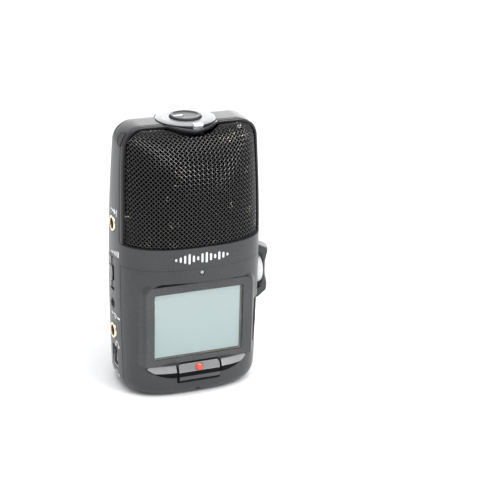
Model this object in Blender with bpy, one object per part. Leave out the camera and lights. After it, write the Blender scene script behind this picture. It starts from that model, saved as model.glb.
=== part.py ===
"""Portable field recorder, built as separate parts in one frame.

Metres, +Z up, standing on its base.  The display faces -Y, the jacks face -X
and the gain wheel faces +X.  Shapes are written in millimetres around the
middle of the case and moved by CASE_X, which centres the whole recorder.
"""
import math

import bmesh
import bpy
from mathutils import Matrix, Vector

MM = 0.001
CASE_X = -3.1
GAP = 0.3
WALL = 1.9

# Case outline: a superellipse in plan whose two half sizes change with height.
PLAN_POWER = 2.63
TOP_Z = 112.3
CROWN_R = 10.9
FOOT_SIDE_R = 8.0
FOOT_FRONT_R = 4.3
BAND_Y = 7.5
BELT_LOW = 56.55
BELT_HIGH = 66.0
COVER_TOP = 56.25

# Grille dome.
MESH_INSET = 1.65
MESH_LOW = 66.3
MESH_EDGE_Y = 8.2
MESH_REACH_Y = 20.9
MESH_BEND_Z = 78.0
MESH_SKIN = 0.6
RIM_SIZE = 1.25

# Dial on the top.
PLINTH_R = 11.6
RING_R = 12.0
RING_TOP = 113.0
KNOB_R = 6.25
KNOB_TOP = 113.85

# Display and front keys.
PLATE_Y = -18.55
PLATE_LOW = 14.75
PLATE_HIGH = 50.0
PLATE_FLAT = 0.71
PLATE_FOLD = 0.80
VIEW_X = 18.3
VIEW_LOW = 17.8
VIEW_HIGH = 45.2
KEY_X = 9.1
KEY_LOW = 6.4
KEY_HIGH = 14.7

# Left side.
JACK_Y = 0.5
LINE_Z = 71.5
REMOTE_Z = 37.0
PHONES_Z = 24.7
USB_LOW = 8.5
USB_HIGH = 17.7
ROCKER_LOW = 42.2
ROCKER_HIGH = 57.3
ROCKER_MID = 49.75

# Right side.
WHEEL_Z = 45.05
WHEEL_R = 6.6
PANEL_LOW = 15.0
PANEL_HIGH = 37.2
PANEL_FRONT = -14.5
PANEL_BACK = 4.5
KEYS_Y = -2.0
MENU_Z = 30.0
PLAY_Z = 23.0
POWER_Z = 11.2

# Rear and base.
DOOR_X = 17.2
DOOR_LOW = 6.5
DOOR_HIGH = 51.7
DOOR_PIVOT = (20.7, 6.2)
CELL_X = 7.7
CELL_Y = 9.9
CELL_R = 7.1
FLAP_PIVOT = (-9.5, 0.1)
BUSH_Y = -2.9


def wipe():
    for item in list(bpy.data.objects):
        bpy.data.objects.remove(item, do_unlink=True)


def material(name, colour, roughness, metallic=0.0):
    made = bpy.data.materials.new(name)
    made.use_nodes = True
    shader = made.node_tree.nodes["Principled BSDF"]
    shader.inputs["Base Color"].default_value = (*colour, 1.0)
    shader.inputs["Roughness"].default_value = roughness
    shader.inputs["Metallic"].default_value = metallic
    made.diffuse_color = (*colour, 1.0)
    return made


def build(name, shape, origin=(0, 0, 0)):
    """One mesh object; shape is (points, faces) in case millimetres."""
    points, faces = shape
    origin = Vector(origin)
    mesh = bpy.data.meshes.new(name)
    mesh.from_pydata([(Vector(p) - origin) * MM for p in points], [], faces)
    work = bmesh.new()
    work.from_mesh(mesh)
    bmesh.ops.recalc_face_normals(work, faces=work.faces)
    work.to_mesh(mesh)
    work.free()
    for face in mesh.polygons:
        face.use_smooth = True
    mesh.set_sharp_from_angle(angle=math.radians(32))
    item = bpy.data.objects.new(name, mesh)
    item.location = (origin + Vector((CASE_X, 0, 0))) * MM
    bpy.context.scene.collection.objects.link(item)
    return item


def part(name, shape, look, origin=(0, 0, 0)):
    item = build(name, shape, origin)
    item.data.materials.append(material(name, *look))
    return item


def cutter(name, shape):
    item = build(name, shape)
    item.hide_render = True
    item.display_type = "WIRE"
    return item


def combine(item, other, operation):
    change = item.modifiers.new(other.name, "BOOLEAN")
    change.operation = operation
    change.solver = "EXACT"
    change.object = other


def merged(shapes):
    points = []
    faces = []
    for more_points, more_faces in shapes:
        start = len(points)
        points.extend(more_points)
        faces.extend([[start + i for i in face] for face in more_faces])
    return points, faces


def loft(rings):
    """Skin between closed rings of equal length, capped at both ends."""
    size = len(rings[0])
    points = [p for ring in rings for p in ring]
    faces = []
    for row in range(len(rings) - 1):
        for i in range(size):
            j = (i + 1) % size
            low = row * size
            faces.append([low + i, low + j, low + size + j, low + size + i])
    faces.append(list(range(size))[::-1])
    faces.append([(len(rings) - 1) * size + i for i in range(size)])
    return points, faces


def box(low, high):
    x0, y0, z0 = low
    x1, y1, z1 = high
    bottom = [(x0, y0, z0), (x1, y0, z0), (x1, y1, z0), (x0, y1, z0)]
    top = [(x, y, z1) for x, y, z in bottom]
    return loft([bottom, top])


def slab(low, high, radius, axis, steps=4):
    """Box whose four edges along one axis are rounded."""
    a, b = [i for i in range(3) if i != axis]
    middle = [(low[i] + high[i]) / 2 for i in range(3)]
    half = [(high[i] - low[i]) / 2 for i in range(3)]
    outline = []
    for quarter, (sa, sb) in enumerate(((1, 1), (-1, 1), (-1, -1), (1, -1))):
        for step in range(steps + 1):
            turn = math.radians(90 * (quarter + step / steps))
            u = middle[a] + sa * (half[a] - radius) + radius * math.cos(turn)
            v = middle[b] + sb * (half[b] - radius) + radius * math.sin(turn)
            outline.append((u, v))
    rings = []
    for level in (low[axis], high[axis]):
        ring = []
        for u, v in outline:
            point = [0, 0, 0]
            point[a] = u
            point[b] = v
            point[axis] = level
            ring.append(tuple(point))
        rings.append(ring)
    return loft(rings)


def spun(profile, centre, axis, count, teeth=0.0):
    """Solid of revolution from (radius, height) pairs running end to end.

    A third value of 1 in a pair puts teeth of the given depth on that ring.
    """
    turn = Vector((0, 0, 1)).rotation_difference(Vector(axis)).to_matrix()
    centre = Vector(centre)
    points = []
    rows = []
    for entry in profile:
        radius, height = entry[:2]
        toothed = len(entry) > 2
        if radius == 0:
            rows.append([len(points)])
            points.append(tuple(centre + turn @ Vector((0, 0, height))))
            continue
        rows.append(list(range(len(points), len(points) + count)))
        for i in range(count):
            bite = teeth if toothed and i % 2 else 0.0
            angle = 2 * math.pi * i / count
            flat = Vector((math.cos(angle), math.sin(angle), 0)) * (radius - bite)
            points.append(tuple(centre + turn @ (flat + Vector((0, 0, height)))))
    faces = []
    for low, high in zip(rows, rows[1:]):
        for i in range(count):
            j = (i + 1) % count
            if len(low) == 1:
                faces.append([low[0], high[j], high[i]])
            elif len(high) == 1:
                faces.append([low[i], low[j], high[0]])
            else:
                faces.append([low[i], low[j], high[j], high[i]])
    return points, faces


def rod(centre, axis, radius, low, high, count=16):
    return spun([(0, low), (radius, low), (radius, high), (0, high)],
                centre, axis, count)


def side_reach(z):
    return 30.52 - 2.02 * ((z - 51.5) / 57) ** 2


def front_reach(z):
    return 21.27 - 1.15 * ((z - 56.5) / 57) ** 2


def rounding(depth, radius):
    """How far a rounded edge has drawn in at a depth past its start."""
    depth = min(max(depth, 0.0), radius)
    return radius - math.sqrt(max(radius ** 2 - depth ** 2, 0.0))


def halves(z, skin=0.0):
    """Half width and half depth of the case at a height, drawn in by skin."""
    rise = z - skin
    side = side_reach(z) - skin
    side -= rounding(FOOT_SIDE_R - skin - rise, FOOT_SIDE_R - skin)
    side -= rounding(z - (TOP_Z - CROWN_R), CROWN_R - skin)
    foot = FOOT_FRONT_R - skin
    front = front_reach(z) - skin - rounding(foot - rise, foot)
    return side, front


def depth_at(x, z, skin=0.0):
    side, front = halves(z, skin)
    return front * max(1 - abs(x / side) ** PLAN_POWER, 0.0) ** (1 / PLAN_POWER)


def width_at(y, z, skin=0.0):
    side, front = halves(z, skin)
    return side * max(1 - abs(y / front) ** PLAN_POWER, 0.0) ** (1 / PLAN_POWER)


def plan_ring(z, skin=0.0, count=44, limit=99.0):
    side, front = halves(z, skin)
    ring = []
    for i in range(count):
        turn = 2 * math.pi * (i + 0.5) / count
        c = math.cos(turn)
        s = math.sin(turn)
        x = side * math.copysign(abs(c) ** (2 / PLAN_POWER), c)
        y = front * math.copysign(abs(s) ** (2 / PLAN_POWER), s)
        ring.append((x, max(y, -limit), z))
    return ring


def crown_levels(skin):
    start = TOP_Z - CROWN_R
    radius = CROWN_R - skin
    return [start + radius * math.sin(math.radians(t)) for t in (0, 18, 36, 54, 72, 90)]


FOOT_LEVELS = (0.0, 0.35, 1.2, 2.6, 4.3, 8.0)


def case_solid():
    levels = list(FOOT_LEVELS) + [22, 38, 52, 66, 78, 90] + crown_levels(0.0)
    return loft([plan_ring(z) for z in levels])


def case_hollow(skin, top=None, limit=99.0):
    levels = [skin + 0.02, skin + 0.6, skin + 1.4, skin + 2.38, 8.1, 21, 36, 51]
    if top is None:
        levels += [66, 78, 90] + crown_levels(skin)
    else:
        levels.append(top)
    return loft([plan_ring(z, skin, limit=limit) for z in levels])


def tab_shape(side, length, depth, outer, inner, front=0.0):
    """D-shaped pad wrapped on the top corner, flat side to the front rim."""
    start = TOP_Z - CROWN_R
    middle = math.radians(41)
    reach = width_at(BAND_Y - 3, start)
    rings = []
    for i in range(9):
        run = -1 + i / 4
        turn = middle + run * length / CROWN_R
        back = depth * max(1 - run ** 2, 0.03) ** 0.5
        ring = []
        for y, radius in ((-front, outer), (back, outer), (back, inner), (-front, inner)):
            x = reach - CROWN_R + radius * math.cos(turn)
            ring.append((side * x, y - BAND_Y + GAP, start + radius * math.sin(turn)))
        rings.append(ring)
    return loft(rings)


def frame_openings():
    inside = 20.0
    shapes = [
        rod((0, JACK_Y, LINE_Z), (-1, 0, 0), 3.6, inside, 40),
        rod((0, JACK_Y, PHONES_Z), (-1, 0, 0), 3.6, inside, 40),
        rod((0, JACK_Y, REMOTE_Z), (-1, 0, 0), 2.3, inside, 40, 16),
        slab((-40, -2.7, USB_LOW - GAP), (-inside, 3.3, USB_HIGH + GAP), 0.8, 0, 3),
        slab((-40, -1.9, ROCKER_LOW - 0.4), (-inside, 4.4, ROCKER_HIGH + 0.4), 0.3, 0, 2),
        rod((0, 0, WHEEL_Z), (1, 0, 0), WHEEL_R + 0.35, inside, 40, 28),
        box((inside, PANEL_FRONT, PANEL_LOW), (40, PANEL_BACK, PANEL_HIGH)),
        slab((inside, -2.6, POWER_Z - 2.9), (40, 2.6, POWER_Z + 2.9), 0.8, 0, 3),
        rod((0, BUSH_Y, 0), (0, 0, 1), 4.1, -3, 4),
    ]
    for x in (-4.5, 0, 4.5):
        shapes.append(slab((x - 0.5, 14, 58.2), (x + 0.5, 30, 64.3), 0.45, 1, 2))
    for side in (-1, 1):
        shapes.append(tab_shape(side, 3.45, 4.7, CROWN_R + 3, CROWN_R - 0.85, 2.0))
    return merged(shapes)


def dial_seat():
    """Hollow for the scale ring, the shaft hole and the lamp tab's notch."""
    shaft = rod((0, 0, 0), (0, 0, 1), 2.3, 100, 112.6)
    seat = rod((0, 0, 0), (0, 0, 1), RING_R + GAP, 112.1, 116, 40)
    notch = box((-1.05, -14, 110.1), (3.35, -9.9, 112.4))
    return shaft, seat, notch


def center_frame():
    frame = part("center_frame", case_solid(), ((0.035, 0.035, 0.038), 0.28))
    zone = cutter("zone_band", box((-50, -BAND_Y, -5), (50, BAND_Y, 130)))
    belt = cutter("zone_belt", box((-60, -40, BELT_LOW), (60, 40, BELT_HIGH)))
    combine(zone, belt, "UNION")
    combine(frame, zone, "INTERSECT")
    plinth = spun([(0, 108.9), (10.3, 108.9), (PLINTH_R, 111.4), (PLINTH_R, 112.2),
                   (0, 112.2)], (0, 0, 0), (0, 0, 1), 40)
    combine(frame, cutter("plinth_add", plinth), "UNION")
    combine(frame, cutter("frame_hollow", case_hollow(WALL)), "DIFFERENCE")
    boss = rod((0, 0, 0), (0, 0, 1), 8.0, 109.2, 111.5, 24)
    combine(frame, cutter("boss_add", boss), "UNION")
    for name, shape in zip(("shaft_cut", "seat_cut", "notch_cut"), dial_seat()):
        combine(frame, cutter(name, shape), "DIFFERENCE")
    combine(frame, cutter("frame_cuts", frame_openings()), "DIFFERENCE")


def cover_ring(z, facing, plate):
    """Closed D-shaped section of a cover, from the joint line outwards."""
    edge = width_at(BAND_Y + GAP, z)
    steps = (1, 0.97, 0.92, 0.86, PLATE_FOLD, PLATE_FLAT, 0.56, 0.38, 0.19)
    runs = [-s for s in steps] + [0.0] + list(steps)[::-1]
    ring = []
    for run in runs:
        y = depth_at(run * edge, z)
        if plate and abs(run) <= PLATE_FLAT:
            y = -PLATE_Y
        if abs(run) == 1:
            y = BAND_Y + GAP
        ring.append((run * edge, facing * y, z))
    return ring


def cover_solid(facing):
    rows = [(z, False) for z in FOOT_LEVELS]
    if facing < 0:
        rows += [(PLATE_LOW - 0.15, False), (PLATE_LOW + 0.15, True), (26, True)]
        rows += [(38, True), (PLATE_HIGH - 0.15, True), (PLATE_HIGH + 0.15, False)]
    else:
        rows += [(22, False), (38, False)]
    rows.append((COVER_TOP, False))
    return loft([cover_ring(z, facing, plate) for z, plate in rows])


def wing_shape(side, grow, back):
    """Trim wing beside the record key; grow swells it to make its seat."""
    rings = []
    first = KEY_X + 0.65
    last = 21.3
    for i in range(7):
        t = i / 6
        x = first - grow + t * (last - first + 2 * grow)
        body = depth_at(x, 11.5)
        crease = body + 0.15
        top_y = min(18.4, crease - 0.25)
        top_z = 14.55 - 0.9 * t
        low_z = 8.8 + 4.1 * t ** 2
        mid_z = 11.7 + 1.6 * t
        rear = top_y - back
        front = grow * 8
        ring = [
            (top_y + front, top_z + grow),
            (crease + front, mid_z),
            (body - 0.25 + front, low_z - grow),
            (rear, low_z - grow),
            (rear, top_z + grow),
        ]
        rings.append([(side * x, -y, z) for y, z in ring])
    return loft(rings)


def front_openings():
    reach = -30
    return merged([
        box((-VIEW_X - GAP, reach, VIEW_LOW - GAP), (VIEW_X + GAP, -10, VIEW_HIGH + GAP)),
        slab((-KEY_X - GAP, reach, KEY_LOW - GAP), (KEY_X + GAP, -10, KEY_HIGH + GAP),
             0.6, 1, 2),
        rod((0, 0, 54.8), (0, -1, 0), 1.1, 10, 30, 16),
        box((20, PANEL_FRONT, PANEL_LOW), (40, 0, PANEL_HIGH)),
        box((-13.3, -13.5, -3), (13.3, -9.2, 2.2)),
    ])


def front_cover():
    cover = part("front_cover", cover_solid(-1), ((0.04, 0.04, 0.044), 0.3))
    hollow = cutter("front_hollow", case_hollow(WALL, 62, 17.0))
    combine(cover, hollow, "DIFFERENCE")
    combine(cover, cutter("front_cuts", front_openings()), "DIFFERENCE")
    wings = merged([wing_shape(side, GAP, 0.8) for side in (-1, 1)])
    combine(cover, cutter("wing_seats", wings), "DIFFERENCE")
    notch = slab((-0.83, -21, 1.27), (0.77, -18.65, 1.83), 0.2, 1, 2)
    combine(cover, cutter("nail_notch", notch), "DIFFERENCE")


def rear_cover():
    cover = part("rear_cover", cover_solid(1), ((0.04, 0.04, 0.044), 0.32))
    combine(cover, cutter("rear_hollow", case_hollow(WALL, 62)), "DIFFERENCE")
    hole = box((-DOOR_X - GAP, 12, DOOR_LOW - GAP), (DOOR_X + GAP, 30, DOOR_HIGH + GAP))
    combine(cover, cutter("door_cut", hole), "DIFFERENCE")
    shapes = []
    for x, z in screw_places():
        mouth = depth_at(x, z) - 0.9
        shapes.append(spun([(0, 5), (1.1, 5), (1.1, mouth - 0.6), (1.75, mouth - 0.6),
                            (1.75, 30), (0, 30)], (x, 0, z), (0, 1, 0), 12))
    combine(cover, cutter("screw_cuts", merged(shapes)), "DIFFERENCE")


def screw_places():
    return [(x, z) for z in (12.0, 49.0) for x in (-21.5, 21.5)]


def case_screws():
    for i, (x, z) in enumerate(screw_places()):
        seat = depth_at(x, z) - 0.9
        shape = spun([(0, seat - 6), (0.8, seat - 6), (0.8, seat - 0.3),
                      (1.4, seat - 0.3), (1.4, seat + 0.3), (1.1, seat + 0.5),
                      (0, seat + 0.5)], (x, 0, z), (0, 1, 0), 10)
        part("case_screw_%d" % (i + 1), shape, ((0.2, 0.2, 0.21), 0.35, 0.9),
             (x, seat, z))


def mesh_edge(z):
    """Half width of the grille at a height, with its rounded top corners."""
    start = TOP_Z - CROWN_R
    if z <= start:
        return width_at(BAND_Y, z) - MESH_INSET
    radius = CROWN_R - MESH_INSET
    run = math.sqrt(max(radius ** 2 - (z - start) ** 2, 0.0))
    return width_at(BAND_Y, start) - CROWN_R + run


def mesh_bulge(z):
    t = (z - MESH_BEND_Z) / (TOP_Z - MESH_INSET - MESH_BEND_Z)
    t = min(max(t, 0.0), 1.0)
    return (1 - t ** 2.8) ** (1 / 2.6)


def mesh_depth(run, z):
    """Distance of the grille from the middle plane; run is -1 to 1 across."""
    edge = 0.382
    arc = (1 - abs(0.969 * run) ** PLAN_POWER) ** (1 / PLAN_POWER)
    swell = (arc - edge) / (1 - edge)
    return MESH_EDGE_Y + (MESH_REACH_Y - MESH_EDGE_Y) * swell * mesh_bulge(z)


def grille(name, facing):
    top = TOP_Z - MESH_INSET
    levels = [MESH_LOW, 72, 78, 84, 90, 95.5, 100.5, 104.5, 107.5, 109.4, 110.3, top]
    columns = 14
    points = []
    faces = []
    for z in levels:
        for i in range(columns + 1):
            run = math.sin(math.pi / 2 * (2 * i / columns - 1))
            points.append((run * mesh_edge(z), facing * mesh_depth(run, z), z))
    for row in range(len(levels) - 1):
        for i in range(columns):
            low = row * (columns + 1) + i
            faces.append([low, low + 1, low + columns + 2, low + columns + 1])
    item = part(name, (points, faces), ((0.02, 0.02, 0.021), 0.4, 0.3))
    skin = item.modifiers.new("skin", "SOLIDIFY")
    skin.thickness = MESH_SKIN * MM
    skin.offset = -1.0
    clear = rod((0, 0, 0), (0, 0, 1), 13.4, 104, 118, 40)
    combine(item, cutter(name + "_clear", clear), "DIFFERENCE")


def rim_path():
    """Centre line of a rim's outer back edge, with its outward direction."""
    start = TOP_Z - CROWN_R
    reach = width_at(BAND_Y, start) - 0.05
    line = []
    for z in (MESH_LOW, 78, 90, start):
        line.append((-width_at(BAND_Y, z) + 0.05, 0.0, z))
    for turn in (18, 36, 54, 72, 90):
        angle = math.radians(turn)
        line.append((-reach + CROWN_R * (1 - math.cos(angle)), 0.0,
                     start + (CROWN_R - 0.05) * math.sin(angle)))
    line.append((-11.6, 0.0, TOP_Z - 0.05))
    line.append((-10.0, 0.15, TOP_Z - 0.15))
    for turn in (43, 57, 72, 90):
        angle = math.radians(turn)
        drop = 1.35 * ((turn - 40) / 50) ** 1.3
        line.append((-12.0 * math.cos(angle), 12.0 * math.sin(angle) - BAND_Y - 0.35,
                     TOP_Z - 0.25 - drop))
    right = [(-x, y, z) for x, y, z in line[:-1]][::-1]
    return line + right


def rim(name, facing):
    line = rim_path()
    size = RIM_SIZE
    outline = ((0, 0), (0.12, size * 0.6), (0.5, size), (size, size), (size, 0))
    rings = []
    for i, (x, y, z) in enumerate(line):
        before = Vector(line[max(i - 1, 0)])
        after = Vector(line[min(i + 1, len(line) - 1)])
        along = (after - before).normalized()
        along.y = -along.y
        lift = min(y / 4.0, 1.0)
        out = Vector((0, -1, 1.3 * lift))
        out = (out - along * out.dot(along)).normalized()
        inward = along.cross(out)
        centre = Vector((x, -y - BAND_Y - GAP, z))
        ring = []
        for n, b in outline:
            spot = centre + inward * n + out * b
            ring.append((spot.x, -facing * spot.y, spot.z))
        rings.append(ring)
    part(name, loft(rings), ((0.03, 0.03, 0.032), 0.25))


def rim_tabs():
    for side, word in ((-1, "left"), (1, "right")):
        shape = tab_shape(side, 3.15, 4.4, CROWN_R - 0.05, CROWN_R - 0.55)
        part("rim_tab_" + word, shape, ((0.035, 0.035, 0.038), 0.3))


def display():
    low = (-VIEW_X, -18.4, VIEW_LOW)
    high = (VIEW_X, -17.9, VIEW_HIGH)
    part("display_window", box(low, high), ((0.75, 0.8, 0.8), 0.08))
    low = (-VIEW_X, -17.6, VIEW_LOW)
    high = (VIEW_X, -15.2, VIEW_HIGH)
    part("lcd_panel", box(low, high), ((0.5, 0.58, 0.57), 0.4))
    lamp = spun([(0, 17.6), (0.8, 17.6), (0.8, 21.2), (0.5, 21.45), (0, 21.5)],
                (0, 0, 54.8), (0, -1, 0), 16)
    part("clip_lamp", lamp, ((0.35, 0.38, 0.45), 0.25), (0, -21.3, 54.8))


def trims():
    for side, word in ((-1, "left"), (1, "right")):
        part(word + "_trim_wing", wing_shape(side, 0.0, 0.5), ((0.1, 0.1, 0.11), 0.22))


def record_key():
    rings = []
    for x in (-KEY_X, -KEY_X + 0.7, KEY_X - 0.7, KEY_X):
        end = 0.55 if abs(x) == KEY_X else 0.0
        outline = [
            (17.4, KEY_HIGH - end * 1.6),
            (18.7 - end * 0.5, KEY_HIGH - end * 1.6),
            (20.75 - end, 10.2),
            (20.45 - end, 7.2 + end),
            (19.9 - end, KEY_LOW + end * 0.6),
            (17.4, KEY_LOW + end * 0.6),
        ]
        rings.append([(x, -y, z) for y, z in outline])
    key = part("rec_button", loft(rings), ((0.05, 0.05, 0.055), 0.2), (0, -18.9, 10.5))
    tilt = Vector((0, -4.5, 2.05)).normalized()
    centre = Vector((0, -19.55, 12.9))
    seat = rod(centre, tilt, 1.8, -0.8, 3, 20)
    combine(key, cutter("lens_seat", seat), "DIFFERENCE")
    lens = spun([(0, -0.5), (1.5, -0.5), (1.5, 0.15), (1.0, 0.4), (0, 0.5)],
                centre, tilt, 20)
    part("rec_lens", lens, ((0.75, 0.06, 0.03), 0.3), centre)
    part("rec_switch", box((-3, -16.7, 8.2), (3, -14.9, 13.4)), ((0.6, 0.6, 0.6), 0.5))


def mode_dial():
    ring = spun([(KNOB_R + GAP, 112.4), (RING_R - 0.1, 112.4), (RING_R, 112.75),
                 (RING_R - 0.25, RING_TOP), (KNOB_R + GAP, RING_TOP),
                 (KNOB_R + GAP, 112.4)], (0, 0, 0), (0, 0, 1), 40)
    points, faces = ring
    plate = part("mode_scale_ring", closed_tube(points, faces, 40),
                 ((0.55, 0.56, 0.58), 0.3, 0.6))
    notch = box((-1.05, -14, 112), (3.35, -9.9, 114))
    combine(plate, cutter("ring_notch", notch), "DIFFERENCE")
    outline = [(-10.2, 110.55), (-10.9, 110.55), (-11.25, 111.6), (-12.15, 112.4),
               (-12.25, 112.85), (-12.0, 113.1), (-10.2, 113.1)]
    tab = loft([[(x, y, z) for y, z in outline] for x in (-0.75, 3.05)])
    part("mode_lamp_tab", tab, ((0.8, 0.85, 0.88), 0.3))
    knob = spun([(0, 105.6), (2.0, 105.6), (2.0, 112.4), (KNOB_R, 112.4, 1),
                 (KNOB_R, 113.5, 1), (KNOB_R - 0.5, KNOB_TOP), (KNOB_R - 1.0, 113.6),
                 (0, 113.4)], (0, 0, 0), (0, 0, 1), 44, 0.28)
    dial = part("mode_dial", knob, ((0.06, 0.06, 0.065), 0.4))
    slot = box((-5.4, -0.8, 113.0), (-0.7, 0.8, 115))
    combine(dial, cutter("pointer_slot", slot), "DIFFERENCE")
    part("mode_pointer", box((-5.1, -0.5, 113.3), (-1.0, 0.5, 113.75)),
         ((0.85, 0.87, 0.9), 0.4))
    switch = part("mode_switch", slab((-6, -6, 103.6), (6, 6, 108.5), 1.0, 2, 2),
                  ((0.15, 0.16, 0.15), 0.5))
    combine(switch, cutter("switch_bore", rod((0, 0, 0), (0, 0, 1), 2.3, 105.2, 112)),
            "DIFFERENCE")


def closed_tube(points, faces, count):
    """Joins the last ring of a tube profile to its first one."""
    kept = points[:-count]
    size = len(kept)
    return kept, [[i % size for i in face] for face in faces]


def microphones():
    part("mic_bracket", slab((-13, -0.8, 67.5), (13, 0.8, 102.5), 2.0, 1, 3),
         ((0.05, 0.05, 0.05), 0.6))
    places = {
        "xy_mic_left": ((-6.3, -8.0, 92.0), (0.7, -0.7, 0)),
        "xy_mic_right": ((6.3, -8.0, 92.0), (-0.7, -0.7, 0)),
        "mid_mic": ((0, 6.0, 90.0), (0, 1, 0)),
        "side_mic_left": ((-6.5, 7.0, 76.0), (-1, 0, 0)),
        "side_mic_right": ((6.5, 7.0, 76.0), (1, 0, 0)),
    }
    for name, (centre, axis) in places.items():
        shape = spun([(0, -3), (4.6, -3), (4.8, -2.6), (4.8, 2.6), (4.2, 3), (0, 3)],
                     centre, axis, 12)
        part(name, shape, ((0.5, 0.5, 0.5), 0.35, 0.8), centre)


def boards():
    part("main_board", box((-20.0, -14.6, 10.0), (20.0, -13.4, 53.0)),
         ((0.03, 0.16, 0.07), 0.5))
    part("key_board", box((22.4, -6, 9), (23.4, 3, 33)), ((0.03, 0.16, 0.07), 0.5))
    part("jog_switch", box((23.7, -4.5, 20.0), (25.2, 0.5, 26.0)), ((0.5, 0.5, 0.5), 0.5))


def jack(name, z, outer, body, bore, look):
    face = 30.62
    shape = spun([(0, 17.2), (body, 17.2), (body, 27.7), (outer, 27.7),
                  (outer, face - 0.25), (outer - 0.25, face), (bore, face), (bore, 19),
                  (0, 19)], (0, JACK_Y, z), (-1, 0, 0), 16)
    part(name, shape, look, (-face, JACK_Y, z))


def left_side():
    gold = ((0.75, 0.52, 0.22), 0.25, 1.0)
    jack("line_in_jack", LINE_Z, 3.25, 3.6, 1.85, gold)
    jack("phones_jack", PHONES_Z, 3.25, 3.6, 1.85, gold)
    jack("remote_jack", REMOTE_Z, 2.0, 2.9, 1.3, ((0.02, 0.02, 0.02), 0.4))
    shell = part("usb_socket", slab((-29.2, -2.4, USB_LOW), (-22.4, 3.0, USB_HIGH),
                                    0.6, 0, 2), ((0.55, 0.56, 0.58), 0.3, 0.9))
    throat = box((-33, -1.7, USB_LOW + 0.8), (-24, 2.3, USB_HIGH - 0.8))
    combine(shell, cutter("usb_throat", throat), "DIFFERENCE")
    rocker()


def rocker():
    rows = [(ROCKER_LOW, 30.1), (ROCKER_LOW + 0.5, 30.45), (45.9, 30.4), (46.8, 30.65),
            (ROCKER_MID, 30.6), (52.7, 30.65), (53.6, 30.4), (ROCKER_HIGH - 0.5, 30.45),
            (ROCKER_HIGH, 30.1)]
    rings = []
    for z, x in rows:
        edge = x - 0.25
        rings.append([(-28.2, -1.5, z), (-edge, -1.5, z), (-x, -1.1, z), (-x, 3.6, z),
                      (-edge, 4.0, z), (-28.2, 4.0, z)])
    part("volume_rocker", loft(rings), ((0.25, 0.26, 0.27), 0.25),
         (-28.2, 1.25, ROCKER_MID))


def gain_control():
    wheel = spun([(0, 24.2), (1.4, 24.2), (1.4, 28.6), (WHEEL_R - 0.4, 28.6),
                  (WHEEL_R, 29.0, 1), (WHEEL_R, 32.3, 1), (WHEEL_R - 0.6, 32.8),
                  (0, 32.8)], (0, 0, WHEEL_Z), (1, 0, 0), 44, 0.3)
    part("gain_wheel", wheel, ((0.7, 0.71, 0.73), 0.35, 0.3), (30.5, 0, WHEEL_Z))
    pot = spun([(0, 20), (5, 20), (5, 26.5), (1.7, 26.5), (1.7, 22), (0, 22)],
               (0, 0, WHEEL_Z), (1, 0, 0), 20)
    part("gain_pot", pot, ((0.4, 0.4, 0.4), 0.4, 0.5))
    rings = []
    for y in (-5, -3.9, -2, 0, 2, 3.9, 5):
        swell = 1 - (y / 5) ** 2
        edge = 0.25 if abs(y) == 5 else 0.0
        outer = [(34.4, 54.6), (34.9, 52.7), (33.9, 48.6), (33.9, 42.7), (34.9, 38.2),
                 (34.9, 35.9)]
        inner = [(32.6, 37.4), (33.2, 42.9), (33.2, 48.4), (32.7, 52.6)]
        outline = [(30.85, 57.3 - edge)]
        outline += [(x + 2.0 * swell - edge, z) for x, z in outer]
        outline += [(31.4, 32.8 + edge), (30.85, 32.8 + edge), (30.85, 36.9)]
        outline += [(x + 0.9 * swell, z) for x, z in inner]
        outline += [(30.85, 53.1)]
        rings.append([(x, y, z) for x, z in outline])
    part("gain_guard", loft(rings), ((0.04, 0.04, 0.044), 0.28))


def panel_keys():
    rings = []
    count = 12
    for z in (PANEL_LOW + GAP, 23, 31, PANEL_HIGH - GAP):
        run = [PANEL_FRONT + GAP + (PANEL_BACK - PANEL_FRONT - 2 * GAP) * i / count
               for i in range(count + 1)]
        ring = [(width_at(y, z) - 0.15, y, z) for y in run]
        ring += [(width_at(y, z) - 1.75, y, z) for y in run[::-1]]
        rings.append(ring)
    panel = part("side_control_panel", loft(rings), ((0.012, 0.012, 0.013), 0.15))
    holes = merged([
        rod((0, KEYS_Y, MENU_Z), (1, 0, 0), 2.0, 20, 40, 16),
        slab((20, KEYS_Y - 2.8, PLAY_Z - 4.3), (40, KEYS_Y + 2.8, PLAY_Z + 4.3), 1.0, 0, 3),
    ])
    combine(panel, cutter("panel_cuts", holes), "DIFFERENCE")
    menu = spun([(0, 24.0), (1.7, 24.0), (1.7, 30.7), (1.3, 31.0), (0, 31.0)],
                (0, KEYS_Y, MENU_Z), (1, 0, 0), 20)
    part("menu_button", menu, ((0.08, 0.08, 0.085), 0.3), (31, KEYS_Y, MENU_Z))
    part("play_carrier", box((25.6, KEYS_Y - 3.2, PLAY_Z - 3.8),
                             (27.1, KEYS_Y + 3.2, PLAY_Z + 3.8)),
         ((0.3, 0.3, 0.3), 0.5), (26.4, KEYS_Y, PLAY_Z))
    part("play_knob", key_cap(27.6, 31.3, 2.4, 3.1, KEYS_Y, PLAY_Z),
         ((0.09, 0.09, 0.1), 0.25), (30, KEYS_Y, PLAY_Z))
    part("power_slider", key_cap(26.6, 30.6, 2.2, 1.5, 0, POWER_Z),
         ((0.09, 0.09, 0.1), 0.25), (29, 0, POWER_Z))


def key_cap(back, front, half_y, half_z, y, z):
    """Key that stands out of the side, with a rounded face."""
    rings = []
    for x, draw in ((back, 0.0), (front - 0.7, 0.0), (front - 0.2, 0.25), (front, 0.8)):
        flat = slab((0, y - half_y + draw, z - half_z + draw),
                    (1, y + half_y - draw, z + half_z - draw), 0.6, 0, 3)[0]
        size = len(flat) // 2
        rings.append([(x, py, pz) for _, py, pz in flat[:size]])
    return loft(rings)


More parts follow.
